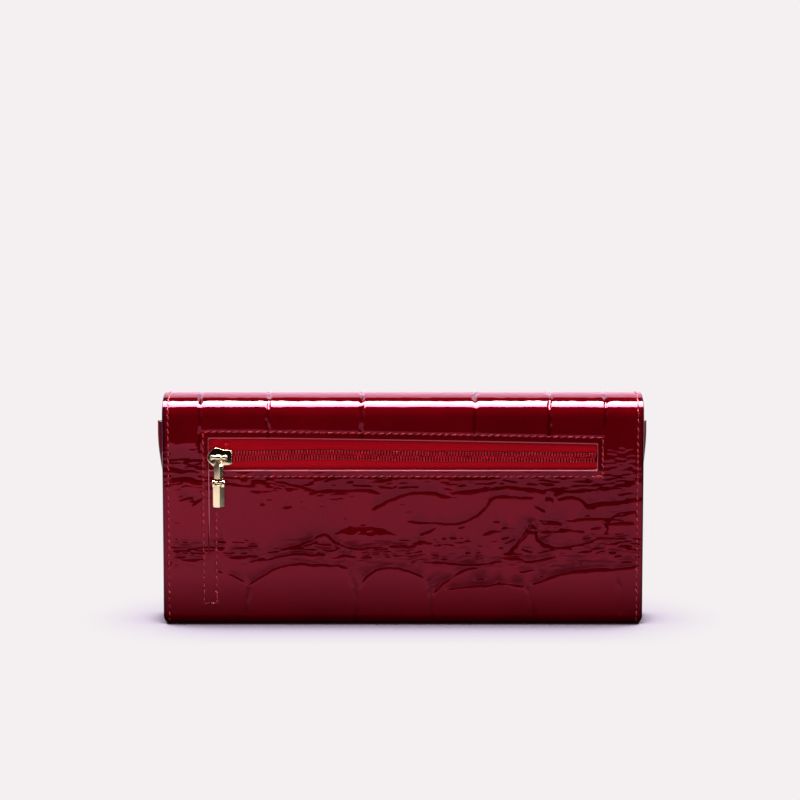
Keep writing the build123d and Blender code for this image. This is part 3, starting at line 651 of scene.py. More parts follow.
def drop_loose(vertices, faces, extras):
    """Removes vertices that no face uses."""
    used = np.zeros(len(vertices), bool)
    used[faces.ravel()] = True
    renumber = np.cumsum(used) - 1
    return vertices[used], renumber[faces], {k: v[used] for k, v in extras.items()}


def thicken(piece, thickness, rim_material=0, inner_material=0, offset=-1.0):
    """Gives a sheet its thickness, in millimetres, below its face."""
    solid = piece.modifiers.new("Thickness", "SOLIDIFY")
    solid.thickness = thickness * MM
    solid.offset = offset
    solid.use_even_offset = False
    solid.use_quality_normals = True
    solid.material_offset_rim = rim_material
    solid.material_offset = inner_material
    return piece


def sheet(name, points, materials, thickness, rim_material=0, offset=0.0):
    """Rows and columns of points, in millimetres, as a sheet with its thickness."""
    piece = mesh_object(name, points.reshape(-1, 3), grid_faces(*points.shape[:2]), materials)
    return thicken(piece, thickness, rim_material, offset=offset)


def fit(piece, slot, body, *nodes):
    """Gives a piece its body, and hides the CAD nodes that it stands for; slot is not used."""
    if nodes:
        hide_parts(*nodes)
    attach(piece, body)


# ---- Materials ----------------------------------------------------------------------------------------
class Tree:
    """Short forms for building a node tree."""

    def __init__(self, tree):
        self.tree = tree

    def feed(self, socket, value):
        """Wires an output to an input socket, or sets its value; a colour may leave out its alpha."""
        if isinstance(value, bpy.types.NodeSocket):
            self.tree.links.new(value, socket)
        elif socket.type == "RGBA" and len(value) == 3:
            socket.default_value = (*value, 1)
        else:
            socket.default_value = value

    def add(self, kind, inputs=None, **settings):
        """A new node with its settings and its inputs, by name or number."""
        node = self.tree.nodes.new(kind)
        for key, value in settings.items():
            setattr(node, key, value)
        for key, value in (inputs or {}).items():
            self.feed(node.inputs[key], value)
        return node

    def math(self, operation, a, b=0.0):
        return self.add("ShaderNodeMath", {0: a, 1: b}, operation=operation).outputs[0]

    def mix(self, factor, a, b):
        """Colour a where the factor is 0 and b where it is 1."""
        return self.add("ShaderNodeMix", {0: factor, 6: a, 7: b}, data_type="RGBA").outputs[2]

    def ramp(self, factor, stops):
        node = self.add("ShaderNodeValToRGB", {"Fac": factor})
        elements = node.color_ramp.elements
        while len(elements) < len(stops):
            elements.new(0.5)
        for element, (place, colour) in zip(elements, stops):
            element.position = place
            element.color = (*colour, 1)
        return node.outputs["Color"]

    def fade(self, value, low, high, at_low=0.0, at_high=1.0):
        """Even change from at_low to at_high as the value goes from low to high, and level beyond."""
        inputs = {"Value": value, "From Min": low, "From Max": high, "To Min": at_low, "To Max": at_high}
        return self.add("ShaderNodeMapRange", inputs).outputs[0]


class Nodes(Tree):
    """A new material and the short forms that surfaces need."""

    def __init__(self, name):
        self.material = bpy.data.materials.new(name)
        self.material.use_nodes = True
        super().__init__(self.material.node_tree)
        self.shader = self.tree.nodes["Principled BSDF"]
        self.place = self.add("ShaderNodeTexCoord").outputs["Object"]

    def put(self, socket, value):
        """Sets a shader input to a value or wires an output to it."""
        self.feed(self.shader.inputs[socket], value)

    def noise(self, scale, detail=3.0, roughness=0.5, stretch=None):
        place = self.place
        if stretch:
            place = self.add("ShaderNodeMapping", {"Vector": place, "Scale": stretch}).outputs[0]
        inputs = {"Vector": place, "Scale": scale, "Detail": detail, "Roughness": roughness}
        return self.add("ShaderNodeTexNoise", inputs).outputs["Fac"]

    def wave(self, scale, rotation):
        turned_place = self.add("ShaderNodeMapping", {"Vector": self.place, "Rotation": rotation}).outputs[0]
        return self.add("ShaderNodeTexWave", {"Vector": turned_place, "Scale": scale}).outputs["Fac"]

    def bump(self, height, distance, strength, after=None):
        inputs = {"Height": height, "Distance": distance * MM, "Strength": strength}
        if after is not None:
            inputs["Normal"] = after
        return self.add("ShaderNodeBump", inputs).outputs["Normal"]

    def attribute(self, name):
        return self.add("ShaderNodeAttribute", attribute_name=name).outputs["Fac"]


PATENT_RED = (0.172, 0.0006, 0.004)
PATENT_DEEP = (0.125, 0.0004, 0.003)
# Painted shade: deep in its creases the hide's colour is darkened to stand for the shade there.
GROOVE_SHADE = 0.55  # how much of its colour the hide keeps deep in a crease
SHINE_TINT = (1.0, 0.12, 0.24)
# Pale cut-edge colour, partly a painted highlight where the rims face the light.
CUT_EDGE_AND_GLINT = (0.95, 0.28, 0.36)
PAINT = (0.014, 0.0025, 0.011)
TAPE_RED = (0.80, 0.006, 0.02)
COIL_RED = (0.90, 0.016, 0.04)
THREAD_RED = (0.74, 0.045, 0.07)
THREAD_DEEP = (0.25, 0.003, 0.009)
LINING_RED = (0.16, 0.004, 0.012)
GOLD = (0.90, 0.74, 0.50)


def patent_leather():
    """Dark red hide under glossy tinted lacquer, with painted shade in its grooves, edge paint and a painted highlight
    on its pale cut rim.
    """
    n = Nodes("patent_leather")
    mottle = n.ramp(n.noise(40, 4), ((0.3, PATENT_DEEP), (0.7, PATENT_RED)))
    tone = n.mix(n.attribute("groove"), mottle, tuple(GROOVE_SHADE * c for c in PATENT_RED))
    # Cut rims: pale cut colour, partly painted highlight.
    tone = n.mix(n.attribute("rim"), tone, CUT_EDGE_AND_GLINT)
    n.put("Base Color", n.mix(n.attribute("edge"), tone, PAINT))
    n.put("Roughness", n.math("ADD", n.math("MULTIPLY", n.noise(260, 3), 0.05), 0.01))
    n.put("IOR", 1.5)
    n.put("Specular IOR Level", 1.0)
    n.put("Specular Tint", SHINE_TINT)
    orange_peel = n.bump(n.noise(700, 2), 0.003, 0.4)
    n.put("Normal", n.bump(n.noise(230, 3, 0.55, stretch=(0.35, 1, 1)), 0.008, 0.5, orange_peel))
    return n.material


def mottled(name, mottle, stops, roughness, grain, **looks):
    """A surface whose colour drifts between two stops, with a fine grain.

    mottle is the drift's scale and detail; grain is the grain's scale, detail, depth in millimetres and strength.
    """
    n = Nodes(name)
    n.put("Base Color", n.ramp(n.noise(*mottle), stops))
    n.put("Roughness", roughness)
    for socket, value in looks.items():
        n.put(socket.replace("_", " "), value)
    n.put("Normal", n.bump(n.noise(*grain[:2]), *grain[2:]))
    return n.material


def gusset_leather():
    """Soft, satin dark red leather with fine grain."""
    n = Nodes("gusset_leather")
    n.put("Base Color", n.ramp(n.noise(70, 4), ((0.3, (0.075, 0.001, 0.004)), (0.75, (0.13, 0.002, 0.008)))))
    n.put("Roughness", 0.3)
    n.put("Specular Tint", SHINE_TINT)
    cells = n.add("ShaderNodeTexVoronoi", {"Vector": n.place, "Scale": 900}, feature="DISTANCE_TO_EDGE")
    n.put("Normal", n.bump(cells.outputs["Distance"], 0.12, 0.5))
    return n.material


def woven(name, dark, light, threads, twill=0.0, bump=0.08):
    """Plain or twill weave; threads is the number per metre."""
    n = Nodes(name)
    pitch = threads / 20 * math.pi
    cloth = n.math("MULTIPLY", n.wave(pitch, (0, 0, twill)), n.wave(pitch, (0, math.pi / 2, twill)))
    shade = n.math("ADD", n.math("MULTIPLY", cloth, 0.75), n.math("MULTIPLY", n.noise(1400, 3), 0.35))
    n.put("Base Color", n.ramp(shade, ((0.12, dark), (0.75, light))))
    n.put("Roughness", 0.85)
    n.put("Specular IOR Level", 0.05)
    n.put("Normal", n.bump(cloth, bump, 0.8))
    return n.material


def thread():
    """Bonded sewing thread with a soft shine."""
    n = Nodes("thread")
    n.put("Base Color", n.ramp(n.noise(900, 2), ((0.3, THREAD_DEEP), (0.75, THREAD_RED))))
    n.put("Roughness", 0.3)
    n.put("Specular IOR Level", 0.6)
    n.put("Specular Tint", (1.0, 0.4, 0.45))
    n.put("Normal", n.bump(n.wave(900, (0.6, 0, 0.6)), 0.03, 0.7))
    return n.material


def gold(name, tone=GOLD, rough=0.1):
    """Polished pale gold plate with faint handling marks."""
    n = Nodes(name)
    n.put("Base Color", n.ramp(n.noise(120, 3), ((0.3, tuple(0.9 * c for c in tone)), (0.7, tone))))
    n.put("Metallic", 1.0)
    scratches = n.noise(500, 4, 0.6, stretch=(1, 1, 0.08))
    n.put("Roughness", n.math("ADD", n.math("MULTIPLY", scratches, 0.14), rough - 0.05))
    n.put("Normal", n.bump(scratches, 0.004, 0.5))
    return n.material


PATENT = patent_leather()
EDGE = mottled(
    "edge_paint", (160, 3), ((0.35, PAINT), (0.8, (0.03, 0.003, 0.008))), 0.32, (380, 3, 0.05, 0.8),
    Coat_Weight=0.4, Coat_Roughness=0.15,
)  # fmt: skip
FLESH = mottled(
    "hide_flesh_side", (260, 5), ((0.3, (0.10, 0.006, 0.010)), (0.75, (0.17, 0.012, 0.018))), 0.85,
    (1500, 4, 0.06, 0.8), Specular_IOR_Level=0.1,
)  # fmt: skip
GUSSET = gusset_leather()
TAPE = woven("zip_tape_weave", (0.50, 0.003, 0.012), TAPE_RED, 2600)
# Dark tape colour for the strip under the coil: painted shade.
TAPE_PAINTED_SHADE = woven("zip_tape_painted_shade", (0.10, 0.001, 0.004), (0.20, 0.002, 0.006), 2600)
LINING = woven("lining_twill", (0.075, 0.001, 0.004), LINING_RED, 2200, twill=0.6, bump=0.05)
POCKET = woven("pocket_twill", (0.09, 0.0015, 0.005), (0.19, 0.005, 0.014), 2400, twill=-0.6, bump=0.05)
THREAD = thread()
NYLON = mottled(
    "zip_nylon", (260, 2), ((0.3, (0.55, 0.006, 0.016)), (0.8, COIL_RED)), 0.35, (1500, 2, 0.01, 0.5),
    Specular_IOR_Level=0.4, Specular_Tint=(1.0, 0.2, 0.3),
)  # fmt: skip
METAL = gold("pull_gold")
SNAP_METAL = gold("snap_gold", (0.86, 0.69, 0.45), 0.16)


def bend(piece):
    """Bakes a piece of the hide's transform into its mesh."""
    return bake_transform(piece)


# ---- Cover --------------------------------------------------------------------------------------------
def hide_piece(name, t_values, x_values, cut=None):
    """Part of the hide as a relief grid with its full thickness."""
    x, t = np.meshgrid(x_values, t_values)
    half = flap_half_width(t)
    inner = HALF_WIDTH - 2.2 * FLAP_CORNER_R
    squeezed = inner + (np.abs(x) - inner) * (half - inner) / (HALF_WIDTH - inner)
    x = np.where(np.abs(x) > inner, np.sign(x) * squeezed, x)
    rim = np.zeros(x.shape)
    keep = np.ones((len(t_values) - 1, len(x_values) - 1), bool)
    if cut is not None:
        keep = cut(x_values, t_values)
        x, t = round_window(x, t)
        # Rim colour: pale cut edge brightened as a painted highlight. Full on the window's lower edge, half on its
        # upper edge, a quarter at its ends.
        bright = smoothstep(34, 48, t) * (x > SLIT_X) * (t < WINDOW_LOW)
        # On the slit's right lip the painted highlight fades out lower down.
        rim = 1 - smoothstep(0.24, 0.42, window_distance(x, t))
        rim *= np.where(np.abs(x) > WINDOW_HALF, 0.25, np.where(t > WINDOW_Z, 0.5, 1.0))
        rim = np.maximum(rim, (1 - smoothstep(0.2, 0.4, slit_distance(x, t))) * bright)
    drawn = t - droop(x, t)
    border = np.minimum(*border_distance(x, t)) + 0.15 * noise(x / 1.7, t / 1.7, 2)
    painted = 0.7 + 0.35 * smoothstep(60, -60, x)
    squeeze = 1 - 0.011 * smoothstep(3.2, -0.5, hide_course(t)[1])
    points = on_hide(x * squeeze, drawn, hide_height(x, t)).reshape(-1, 3)
    points[:, 2] = np.maximum(points[:, 2], 0)
    extras = {
        "edge": 1 - smoothstep(0.6 * painted, 1.35 * painted, border),
        # Where the relief sinks: a mask for the painted shade in the creases.
        "groove": smoothstep(-0.03, -0.16, relief(x, drawn)),
        "rim": rim,
        "seam": np.isclose(t, T_MID_TOP) | np.isclose(t, T_MID_FOOT),
    }
    faces = grid_faces(len(t_values), len(x_values), keep)
    points, faces, extras = drop_loose(points, faces, {key: values.ravel() for key, values in extras.items()})
    piece = mesh_object(name, points, faces, [PATENT, EDGE, FLESH], attributes=extras)
    sharpen_seams(piece, extras["seam"])
    thicken(piece, LEATHER, rim_material=1, inner_material=2)
    return piece


def sharpen_seams(piece, seam):
    """Keeps the shading level up to the lines where two runs of the hide meet."""
    edges = np.empty(2 * len(piece.data.edges), np.int32)
    piece.data.edges.foreach_get("vertices", edges)
    sharp = seam[edges.reshape(-1, 2)].all(1)
    piece.data.attributes.new("sharp_edge", "BOOLEAN", "EDGE").data.foreach_set("value", sharp)


def round_window(x, t):
    """Moves the grid's points at the window's corners on to small arcs."""
    x, t = x.copy(), t.copy()
    for side_x in (-1, 1):
        for side_t in (-1, 1):
            cx = side_x * (WINDOW_HALF - WINDOW_CORNER_R)
            ct = WINDOW_Z + side_t * (WINDOW_HALF_HEIGHT - WINDOW_CORNER_R)
            dx, dt = (x - cx) * side_x, (t - ct) * side_t
            reach = np.hypot(dx, dt)
            rim = (np.abs(dx - WINDOW_CORNER_R) < 1e-3) & (dt > 0) & (dt < WINDOW_CORNER_R + 1e-3)
            rim |= (np.abs(dt - WINDOW_CORNER_R) < 1e-3) & (dx > 0) & (dx < WINDOW_CORNER_R + 1e-3)
            pull = np.where(rim, WINDOW_CORNER_R / np.maximum(reach, 1e-6), 1.0)
            x = np.where(rim, cx + (x - cx) * pull, x)
            t = np.where(rim, ct + (t - ct) * pull, t)
    return x, t


def window_cut(x_values, t_values):
    """Mask of the quads that stay: all but the window's and the slit's."""
    x = (x_values[1:] + x_values[:-1]) / 2
    t = (t_values[1:] + t_values[:-1]) / 2
    xx, tt = np.meshgrid(x, t)
    window = (np.abs(xx) < WINDOW_HALF) & (np.abs(tt - WINDOW_Z) < WINDOW_HALF_HEIGHT)
    slit = (xx > SLIT_X) & (xx < SLIT_RIGHT_X) & (tt > SLIT_FOOT_Z) & (tt < WINDOW_LOW)
    return ~(window | slit)


def corner_rows(count):
    """Rows down to the flap's end that crowd together where its corners turn in."""
    return (T_FLAP_END - FLAP_CORNER_R * (1 - np.sin(np.linspace(0, QUARTER, count))))[1:]


def make_cover():
    """The hide in three runs that meet in the middle of the roll and of the foot."""
    plain_columns = axis_points(-HALF_WIDTH, HALF_WIDTH, COARSE_GRID, [])
    back_columns = axis_points(-HALF_WIDTH, HALF_WIDTH, GRID, [-WINDOW_HALF, SLIT_X, SLIT_RIGHT_X, WINDOW_HALF])
    back_rows = axis_points(T_MID_FOOT, T_MID_TOP, GRID * 0.6, [WINDOW_LOW, WINDOW_HIGH, SLIT_FOOT_Z])
    flap_rows = axis_points(T_MID_TOP, T_FLAP_END - FLAP_CORNER_R, COARSE_GRID, [], fine=(0.0,))
    flap_rows = np.r_[flap_rows, corner_rows(30)]
    front_rows = axis_points(T_FRONT_END, T_MID_FOOT, COARSE_GRID, [])
    back = hide_piece("cover_back", back_rows, back_columns, window_cut)
    flap = hide_piece("cover_flap", flap_rows, plain_columns)
    front = hide_piece("cover_front", front_rows, plain_columns)
    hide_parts("back_cover", "back_board")
    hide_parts("flap_cover_top", "flap_cover_front", "flap_board")
    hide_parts("front_cover", "front_board")
    for piece, where in ((back, "back"), (flap, "flap"), (front, "front")):
        bend(piece)


# ---- Stitches -----------------------------------------------------------------------------------------
def capsule(length, radius, dip, rings=7, sides=8):
    """One stitch along +X, thicker in its middle, with ends that dip into their holes."""
    points = []
    for a in np.linspace(-1, 1, rings):
        r = radius * math.sqrt(max(0.0, 1 - abs(a) ** 3)) + 0.02
        sink = -dip * abs(a) ** 3
        for angle in np.linspace(0, 2 * math.pi, sides, endpoint=False):
            points.append((a * length / 2, r * math.cos(angle), sink + 0.8 * r * math.sin(angle)))
    points += [(-length / 2, 0, -dip), (length / 2, 0, -dip)]
    faces = ring_faces(rings, sides)
    first, last, end = len(points) - 2, len(points) - 1, (rings - 1) * sides
    for k in range(sides):
        after = (k + 1) % sides
        faces += [(first, after, k), (last, end + k, end + after)]
    return np.array(points), faces


STITCH = capsule(2.5, 0.27, 0.30)
# Needle holes are small near-black capsules in the edge paint's colour: painted shade inside each hole.
HOLE = capsule(0.62, 0.30, 0.02, rings=5)
SHORT_STITCH = capsule(1.5, 0.25, 0.2)
TACK_PITCH = 1.1


def scatter(name, template, places, material):
    """Copies of a template mesh, one per place (origin, along, out), in millimetres, as one object."""
    points, faces = template
    all_points, all_faces = [], []
    for origin, along, out in places:
        along, out = np.array(along) / np.linalg.norm(along), np.array(out) / np.linalg.norm(out)
        base = len(all_points) * len(points)
        all_points.append(points @ np.stack([along, np.cross(out, along), out]) + np.array(origin))
        all_faces += [tuple(base + i for i in face) for face in faces]
    return mesh_object(name, np.concatenate(all_points), all_faces, [material])


def walk(corners, pitch):
    """Even steps along a polyline in (x, t): mid points and directions."""
    corners = np.array(corners, float)
    marks = np.r_[0, np.cumsum(np.hypot(*np.diff(corners, axis=0).T))]
    count = max(1, round(marks[-1] / pitch))
    at = (np.arange(count) + 0.5) * marks[-1] / count

    def along(shift):
        return [np.interp(at + shift, marks, column) for column in corners.T]

    ahead, up = (after - before for after, before in zip(along(0.3), along(-0.3)))
    return *along(0), ahead, up


FOOT_SINK = 0.36  # how much deeper the stitches lie in the face the wallet stands on


def hide_places(x, t, ahead, up, slant=0.22, lift=0.10):
    """Stitch places on the hide's face, each turned a little off the row."""
    height = hide_height(x, t) - FOOT_SINK * ((t > T_FOOT_LOW - 2) & (t < T_FOOT_HIGH + 2))
    drawn = t - droop(x, t)
    y, z, ny, nz = hide_course(drawn)
    places = []
    for i in range(len(x)):
        tangent_x = np.array([1.0, 0, 0])
        tangent_t = np.array([0, nz[i], -ny[i]])
        normal = np.array([0, ny[i], nz[i]])
        turn = slant + 0.08 * rng.standard_normal()
        size = math.hypot(ahead[i], up[i])
        c, s = ahead[i] / size, up[i] / size
        c, s = c * math.cos(turn) - s * math.sin(turn), s * math.cos(turn) + c * math.sin(turn)
        origin = np.array([x[i], y[i], z[i]]) + normal * (height[i] + lift)
        places.append((origin, tangent_x * c + tangent_t * s, normal))
    return places


def hole_places(x, t, ahead, up):
    """Needle holes, half a stitch on from each stitch, as sunk dark capsules that paint the holes' shade."""
    size = np.hypot(ahead, up)
    x = x + ahead / size * STITCH_PITCH / 2
    t = t + up / size * STITCH_PITCH / 2
    return hide_places(x, t, ahead, up, slant=0.5, lift=-0.16)


def flap_edge_row():
    """Down one side of the flap, round its corners and up the other."""
    x = HALF_WIDTH - STITCH_INSET
    r = FLAP_CORNER_R - STITCH_INSET
    angles = np.linspace(0, QUARTER, 12)
    corner_x, corner_t = HALF_WIDTH - FLAP_CORNER_R, T_FLAP_END - FLAP_CORNER_R
    right = [(corner_x + r * math.cos(a), corner_t + r * math.sin(a)) for a in angles]
    left = [(-px, pt) for px, pt in reversed(right)]
    return [(x, T_MID_TOP)] + right + left + [(-x, T_MID_TOP)]


def make_stitches():
    """The rows along the hide's edges and round the window, with their needle holes and back-tacks."""
    inner = HALF_WIDTH - STITCH_INSET
    top = T_FRONT_END + STITCH_INSET
    rows = {
        "back": [[(side * inner, T_MID_FOOT), (side * inner, T_MID_TOP)] for side in (-1, 1)],
        "flap": [flap_edge_row()],
        "front": [[(side * inner, top), (side * inner, T_MID_FOOT)] for side in (-1, 1)]
        + [[(-inner, top), (inner, top)]],
    }
    for name, lines in rows.items():
        steps = [walk(line, STITCH_PITCH) for line in lines]
        stitches = [place for step in steps for place in hide_places(*step)]
        holes = [place for step in steps for place in hole_places(*step)]
        bend(scatter(f"stitches_{name}", STITCH, stitches, THREAD))
        bend(scatter(f"needle_holes_{name}", HOLE, holes, EDGE))

    left, right = -WINDOW_HALF - WINDOW_STITCH_X, WINDOW_HALF + WINDOW_STITCH_X
    low, high = WINDOW_LOW - WINDOW_STITCH_Z, WINDOW_HIGH + WINDOW_STITCH_Z
    tail = -WINDOW_HALF + TAIL_STITCH_X
    rows = (
        [(left, high), (right, high)],
        [(right, high), (right, low)],
        [(right, low), (tail + 6.5, low)],
        [(left, high), (left, TAIL_FOOT_Z)],
        [(left, TAIL_FOOT_Z), (tail, TAIL_FOOT_Z)],
        [(tail, TAIL_FOOT_Z), (tail, low - 11)],
    )
    window, holes = [], []
    for row in rows:
        window += hide_places(*walk(row, STITCH_PITCH))
        holes += hole_places(*walk(row, STITCH_PITCH))
    fit(scatter("stitches_window", STITCH, window, THREAD), "zip_tape", "wallet_back")
    fit(scatter("needle_holes_window", HOLE, holes, EDGE), "patent_leather", "wallet_back")

    tacks = []
    for start, end in (((right - 3.6, low), (right, low)), ((tail, TAIL_FOOT_Z + 0.4), (tail, TAIL_FOOT_Z + 5.0))):
        for shift in (-0.35, 0.0, 0.35):
            moved = [(start[0] + shift * 0.6, start[1] + shift), (end[0] - shift * 0.6, end[1] + shift * 0.6)]
            tacks += hide_places(*walk(moved, TACK_PITCH), slant=0.5 if shift >= 0 else -0.5, lift=0.2)
    fit(scatter("back_tacks", SHORT_STITCH, tacks, THREAD), "zip_tape", "wallet_back")


# ---- Zip ----------------------------------------------------------------------------------------------
TOOTH_PITCH = 1.165
TOOTH_LENGTH = 1.75
SEAM_FROM_MIDDLE = 1.62
BED_HALF = 2.1  # the shaded strip of tape that the coil covers


def zip_line(x):
    """Height of the zip's middle: it bows up beside the slider and sinks at its far end."""
    return ZIP_Z + 0.8 * np.exp(-(((x + 35) / 30) ** 2)) - 0.4 * smoothstep(30, WINDOW_HALF, x)


KNOT_X = -71.6
KNOT_Z = 74.4


def part_with_slider(piece):
    """Gives the piece its own copy of its mesh."""
    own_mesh(piece)


def make_zip():
    """Two woven tapes, each with a moulded coil sewn along it by a row of bright thread."""
    coil_low, coil_high = box_mm("zip_coil_upper")
    tooth = capsule(TOOTH_LENGTH, 0.36, 0.35)
    seam = capsule(1.0, 0.24, 0.16, rings=5)
    for side, name in ((1, "upper"), (-1, "lower")):
        low, high = box_mm(f"zip_tape_{name}")
        rows = np.linspace(low[2], high[2], 40)
        x, z = np.meshgrid(np.linspace(low[0], high[0], 180), rows)
        away = np.abs(z - ZIP_Z)
        groove = np.exp(-(((away - 2.7) / 0.6) ** 2))
        y = low[1] + 0.85 * smoothstep(2.4, 6.6, away) + 0.16 * groove
        y += 0.03 * noise(x / 7, z / 3, 2) + 0.012 * noise(x / 1.6, z / 0.8, 4)
        z = z + (zip_line(x) - ZIP_Z) * smoothstep(7, 3, away)
        tape = sheet(f"tape_{name}", np.stack([x, y, z], -1), [TAPE, TAPE_PAINTED_SHADE], high[1] - low[1] - 0.15, offset=-1.0)
        # The strip that the coil covers takes the dark tape colour, a painted shade under the coil.
        covered = np.abs((rows[1:] + rows[:-1]) / 2 - ZIP_Z) < BED_HALF
        tape.data.polygons.foreach_set("material_index", np.repeat(covered, x.shape[1] - 1).astype(np.int32))
        fit(tape, "zip_tape", "wallet_back", f"zip_tape_{name}")
        part_with_slider(tape)

        start = coil_low[0] + TOOTH_PITCH / 2 * (side > 0)
        teeth, seams = [], []
        for i in range(int((coil_high[0] - start) / TOOTH_PITCH)):
            tooth_x = start + (i + 0.5) * TOOTH_PITCH
            middle = zip_line(tooth_x)
            tooth_place = (tooth_x, centre_mm("zip_coil_upper")[1] + 0.1, middle + side * 0.72)
            teeth.append((tooth_place, (0.05, 0, side), (0, -1, 0)))
            seam_place = (tooth_x, coil_low[1] + 0.1, middle + side * SEAM_FROM_MIDDLE)
            seams.append((seam_place, (0.62, 0, 0.8), (0, -1, 0)))
        coil = scatter(f"coil_{name}", tooth, teeth, NYLON)
        sewing = scatter(f"coil_thread_{name}", seam, seams, THREAD)
        fit(coil, "zip_coil", "wallet_back", f"zip_coil_{name}")
        fit(sewing, "zip_tape", "wallet_back")
        part_with_slider(coil)
        part_with_slider(sewing)


def make_knot():
    """Knot of thread on the upper tape, close to its left end."""
    face = box_mm("zip_tape_upper")[0][1]
    places = []
    for i, turn in enumerate(np.linspace(0, math.pi, 6, endpoint=False)):
        origin = (KNOT_X + 0.3 * math.sin(3 * turn), face - 0.1 * (i % 3), KNOT_Z + 0.3 * math.cos(2 * turn))
        places.append((origin, (math.cos(turn), 0, math.sin(turn)), (0, -1, 0)))
    fit(scatter("zip_end_knot", SHORT_STITCH, places, NYLON), "zip_tape", "wallet_back")


# ---- Metal: slider, bridge, link, tab -----------------------------------------------------------------
def bevelled(piece, width, segments=3, angle=30):
    bevel = piece.modifiers.new("Rounding", "BEVEL")
    bevel.width = width * MM
    bevel.segments = segments
    bevel.limit_method = "ANGLE"
    bevel.angle_limit = math.radians(angle)
    bevel.harden_normals = False
    return piece


def prism(name, outline, y_from, y_to, material):
    """Solid between two values of Y from a closed outline in (x, z), in millimetres."""
    return extruded(name, [(x, y_from, z) for x, z in outline], (0, y_to - y_from, 0), material)


def extruded(name, ring, shift, material):
    """Solid between a closed ring of points and the same ring shifted, in millimetres."""
    build = bmesh.new()
    face = build.faces.new([build.verts.new([c * MM for c in point]) for point in ring])
    made = bmesh.ops.extrude_face_region(build, geom=[face])
    for vertex in (g for g in made["geom"] if isinstance(g, bmesh.types.BMVert)):
        vertex.co += Vector(shift) * MM
    bmesh.ops.recalc_face_normals(build, faces=build.faces)
    mesh = bpy.data.meshes.new(name)
    build.to_mesh(mesh)
    build.free()
    return in_scene(name, mesh, [material])


def smooth_outline(points, rounds=2):
    """Rounds a closed outline by cutting its corners."""
    points = np.array(points, float)
    for _ in range(rounds):
        after = np.roll(points, -1, axis=0)
        points = np.stack([0.8 * points + 0.2 * after, 0.2 * points + 0.8 * after], 1).reshape(-1, 2)
    return points


PLATE_TILT = 0.06
EAR_FROM = 1.4  # the tab's ears start this far either side of the pull's middle
EAR_R = 1.05


def make_slider():
    """Slider body, open towards the chain, with its wedge and the arched bridge on top."""
    low, high = box_mm("slider_body")
    mid_x, face_y = (low[0] + high[0]) / 2, low[1]
    half = [(-4.9, 1.05), (-3.7, 2.45), (-1.9, 3.8), (-0.5, 3.75), (1.2, 3.0), (3.9, 2.9), (5.0, 2.4), (5.0, 0.9)]
    outline = half + [(x, -1.12 * z) for x, z in reversed(half)]
    outline = [(mid_x + x, ZIP_Z + z) for x, z in smooth_outline(outline)]
    top = prism("slider_top_plate", outline, face_y, face_y + 0.95, METAL)
    for vertex in top.data.vertices:
        vertex.co.y += (vertex.co.z - ZIP_Z * MM) * PLATE_TILT
    bevelled(top, 0.26, 4)
    bottom = bevelled(prism("slider_bottom_plate", outline, high[1] - 0.55, high[1], METAL), 0.2)
    edge = [(-1.1, 3.8), (1.5, 2.8), (4.8, 2.7), (4.8, 2.2), (1.6, 2.2), (-1.1, 3.3)]
    for side, name in ((1, "upper"), (-1, "lower")):
        wall_outline = [(mid_x + x, ZIP_Z + side * z) for x, z in edge]
        wall = prism(f"slider_wall_{name}", wall_outline, face_y + 0.7, high[1] - 1.9, METAL)
        fit(bevelled(wall, 0.08), "pull_metal", "zip_slider")
    turns = np.linspace(0, 2 * math.pi, 20)[:-1]
    wedge_outline = [(mid_x - 2.8 + 0.9 * math.cos(a), ZIP_Z + 0.55 * math.sin(a)) for a in turns]
    wedge = prism("slider_wedge", wedge_outline, face_y + 0.7, high[1] - 0.4, METAL)
    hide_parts("slider_body")
    for piece in (top, bottom, wedge):
        fit(piece, "pull_metal", "zip_slider")

    low, high = box_mm("slider_bridge")
    reach = (high[0] - low[0]) / 2
    half = [
        (0.2, face_y + 0.15, 1.25), (-0.05, face_y - 0.7, 1.2), (-0.7, low[1] + 0.55, 1.0), (-1.5, low[1] + 0.42, 0.62),
    ]  # fmt: skip
    course = [(-reach - x, y, w) for x, y, w in half] + [(0, low[1] + 0.42, 0.5)]
    course += [(reach + x, y, w) for x, y, w in reversed(half)]
    course = [((centre_mm("slider_bridge")[0] + x, y, ZIP_Z), w) for x, y, w in course]
    fit(strap("slider_bridge_arch", course, 0.45, METAL), "pull_metal", "zip_slider", "slider_bridge")


def strap(name, course, half_thickness, material, side=(0, 0, 1), rounds=2):
    """Rounded bar along a course of (point, half width), in millimetres; side is its width direction."""
    points = np.array([p for p, w in course], float)
    side = np.array(side, float)
    profile = [(-1, -0.5), (-0.8, -1), (0.8, -1), (1, -0.5), (1, 0.5), (0.8, 1), (-0.8, 1), (-1, 0.5)]
    vertices = []
    for i, (point, (_, width)) in enumerate(zip(points, course)):
        ahead = points[min(i + 1, len(points) - 1)] - points[max(i - 1, 0)]
        out = np.cross(ahead / np.linalg.norm(ahead), side)
        vertices += [point + side * a * width + out * b * half_thickness for a, b in profile]
    piece = mesh_object(name, vertices, ring_faces(len(points), len(profile), capped=True), [material])
    surface = piece.modifiers.new("Smooth", "SUBSURF")
    surface.levels = surface.render_levels = rounds
    return piece


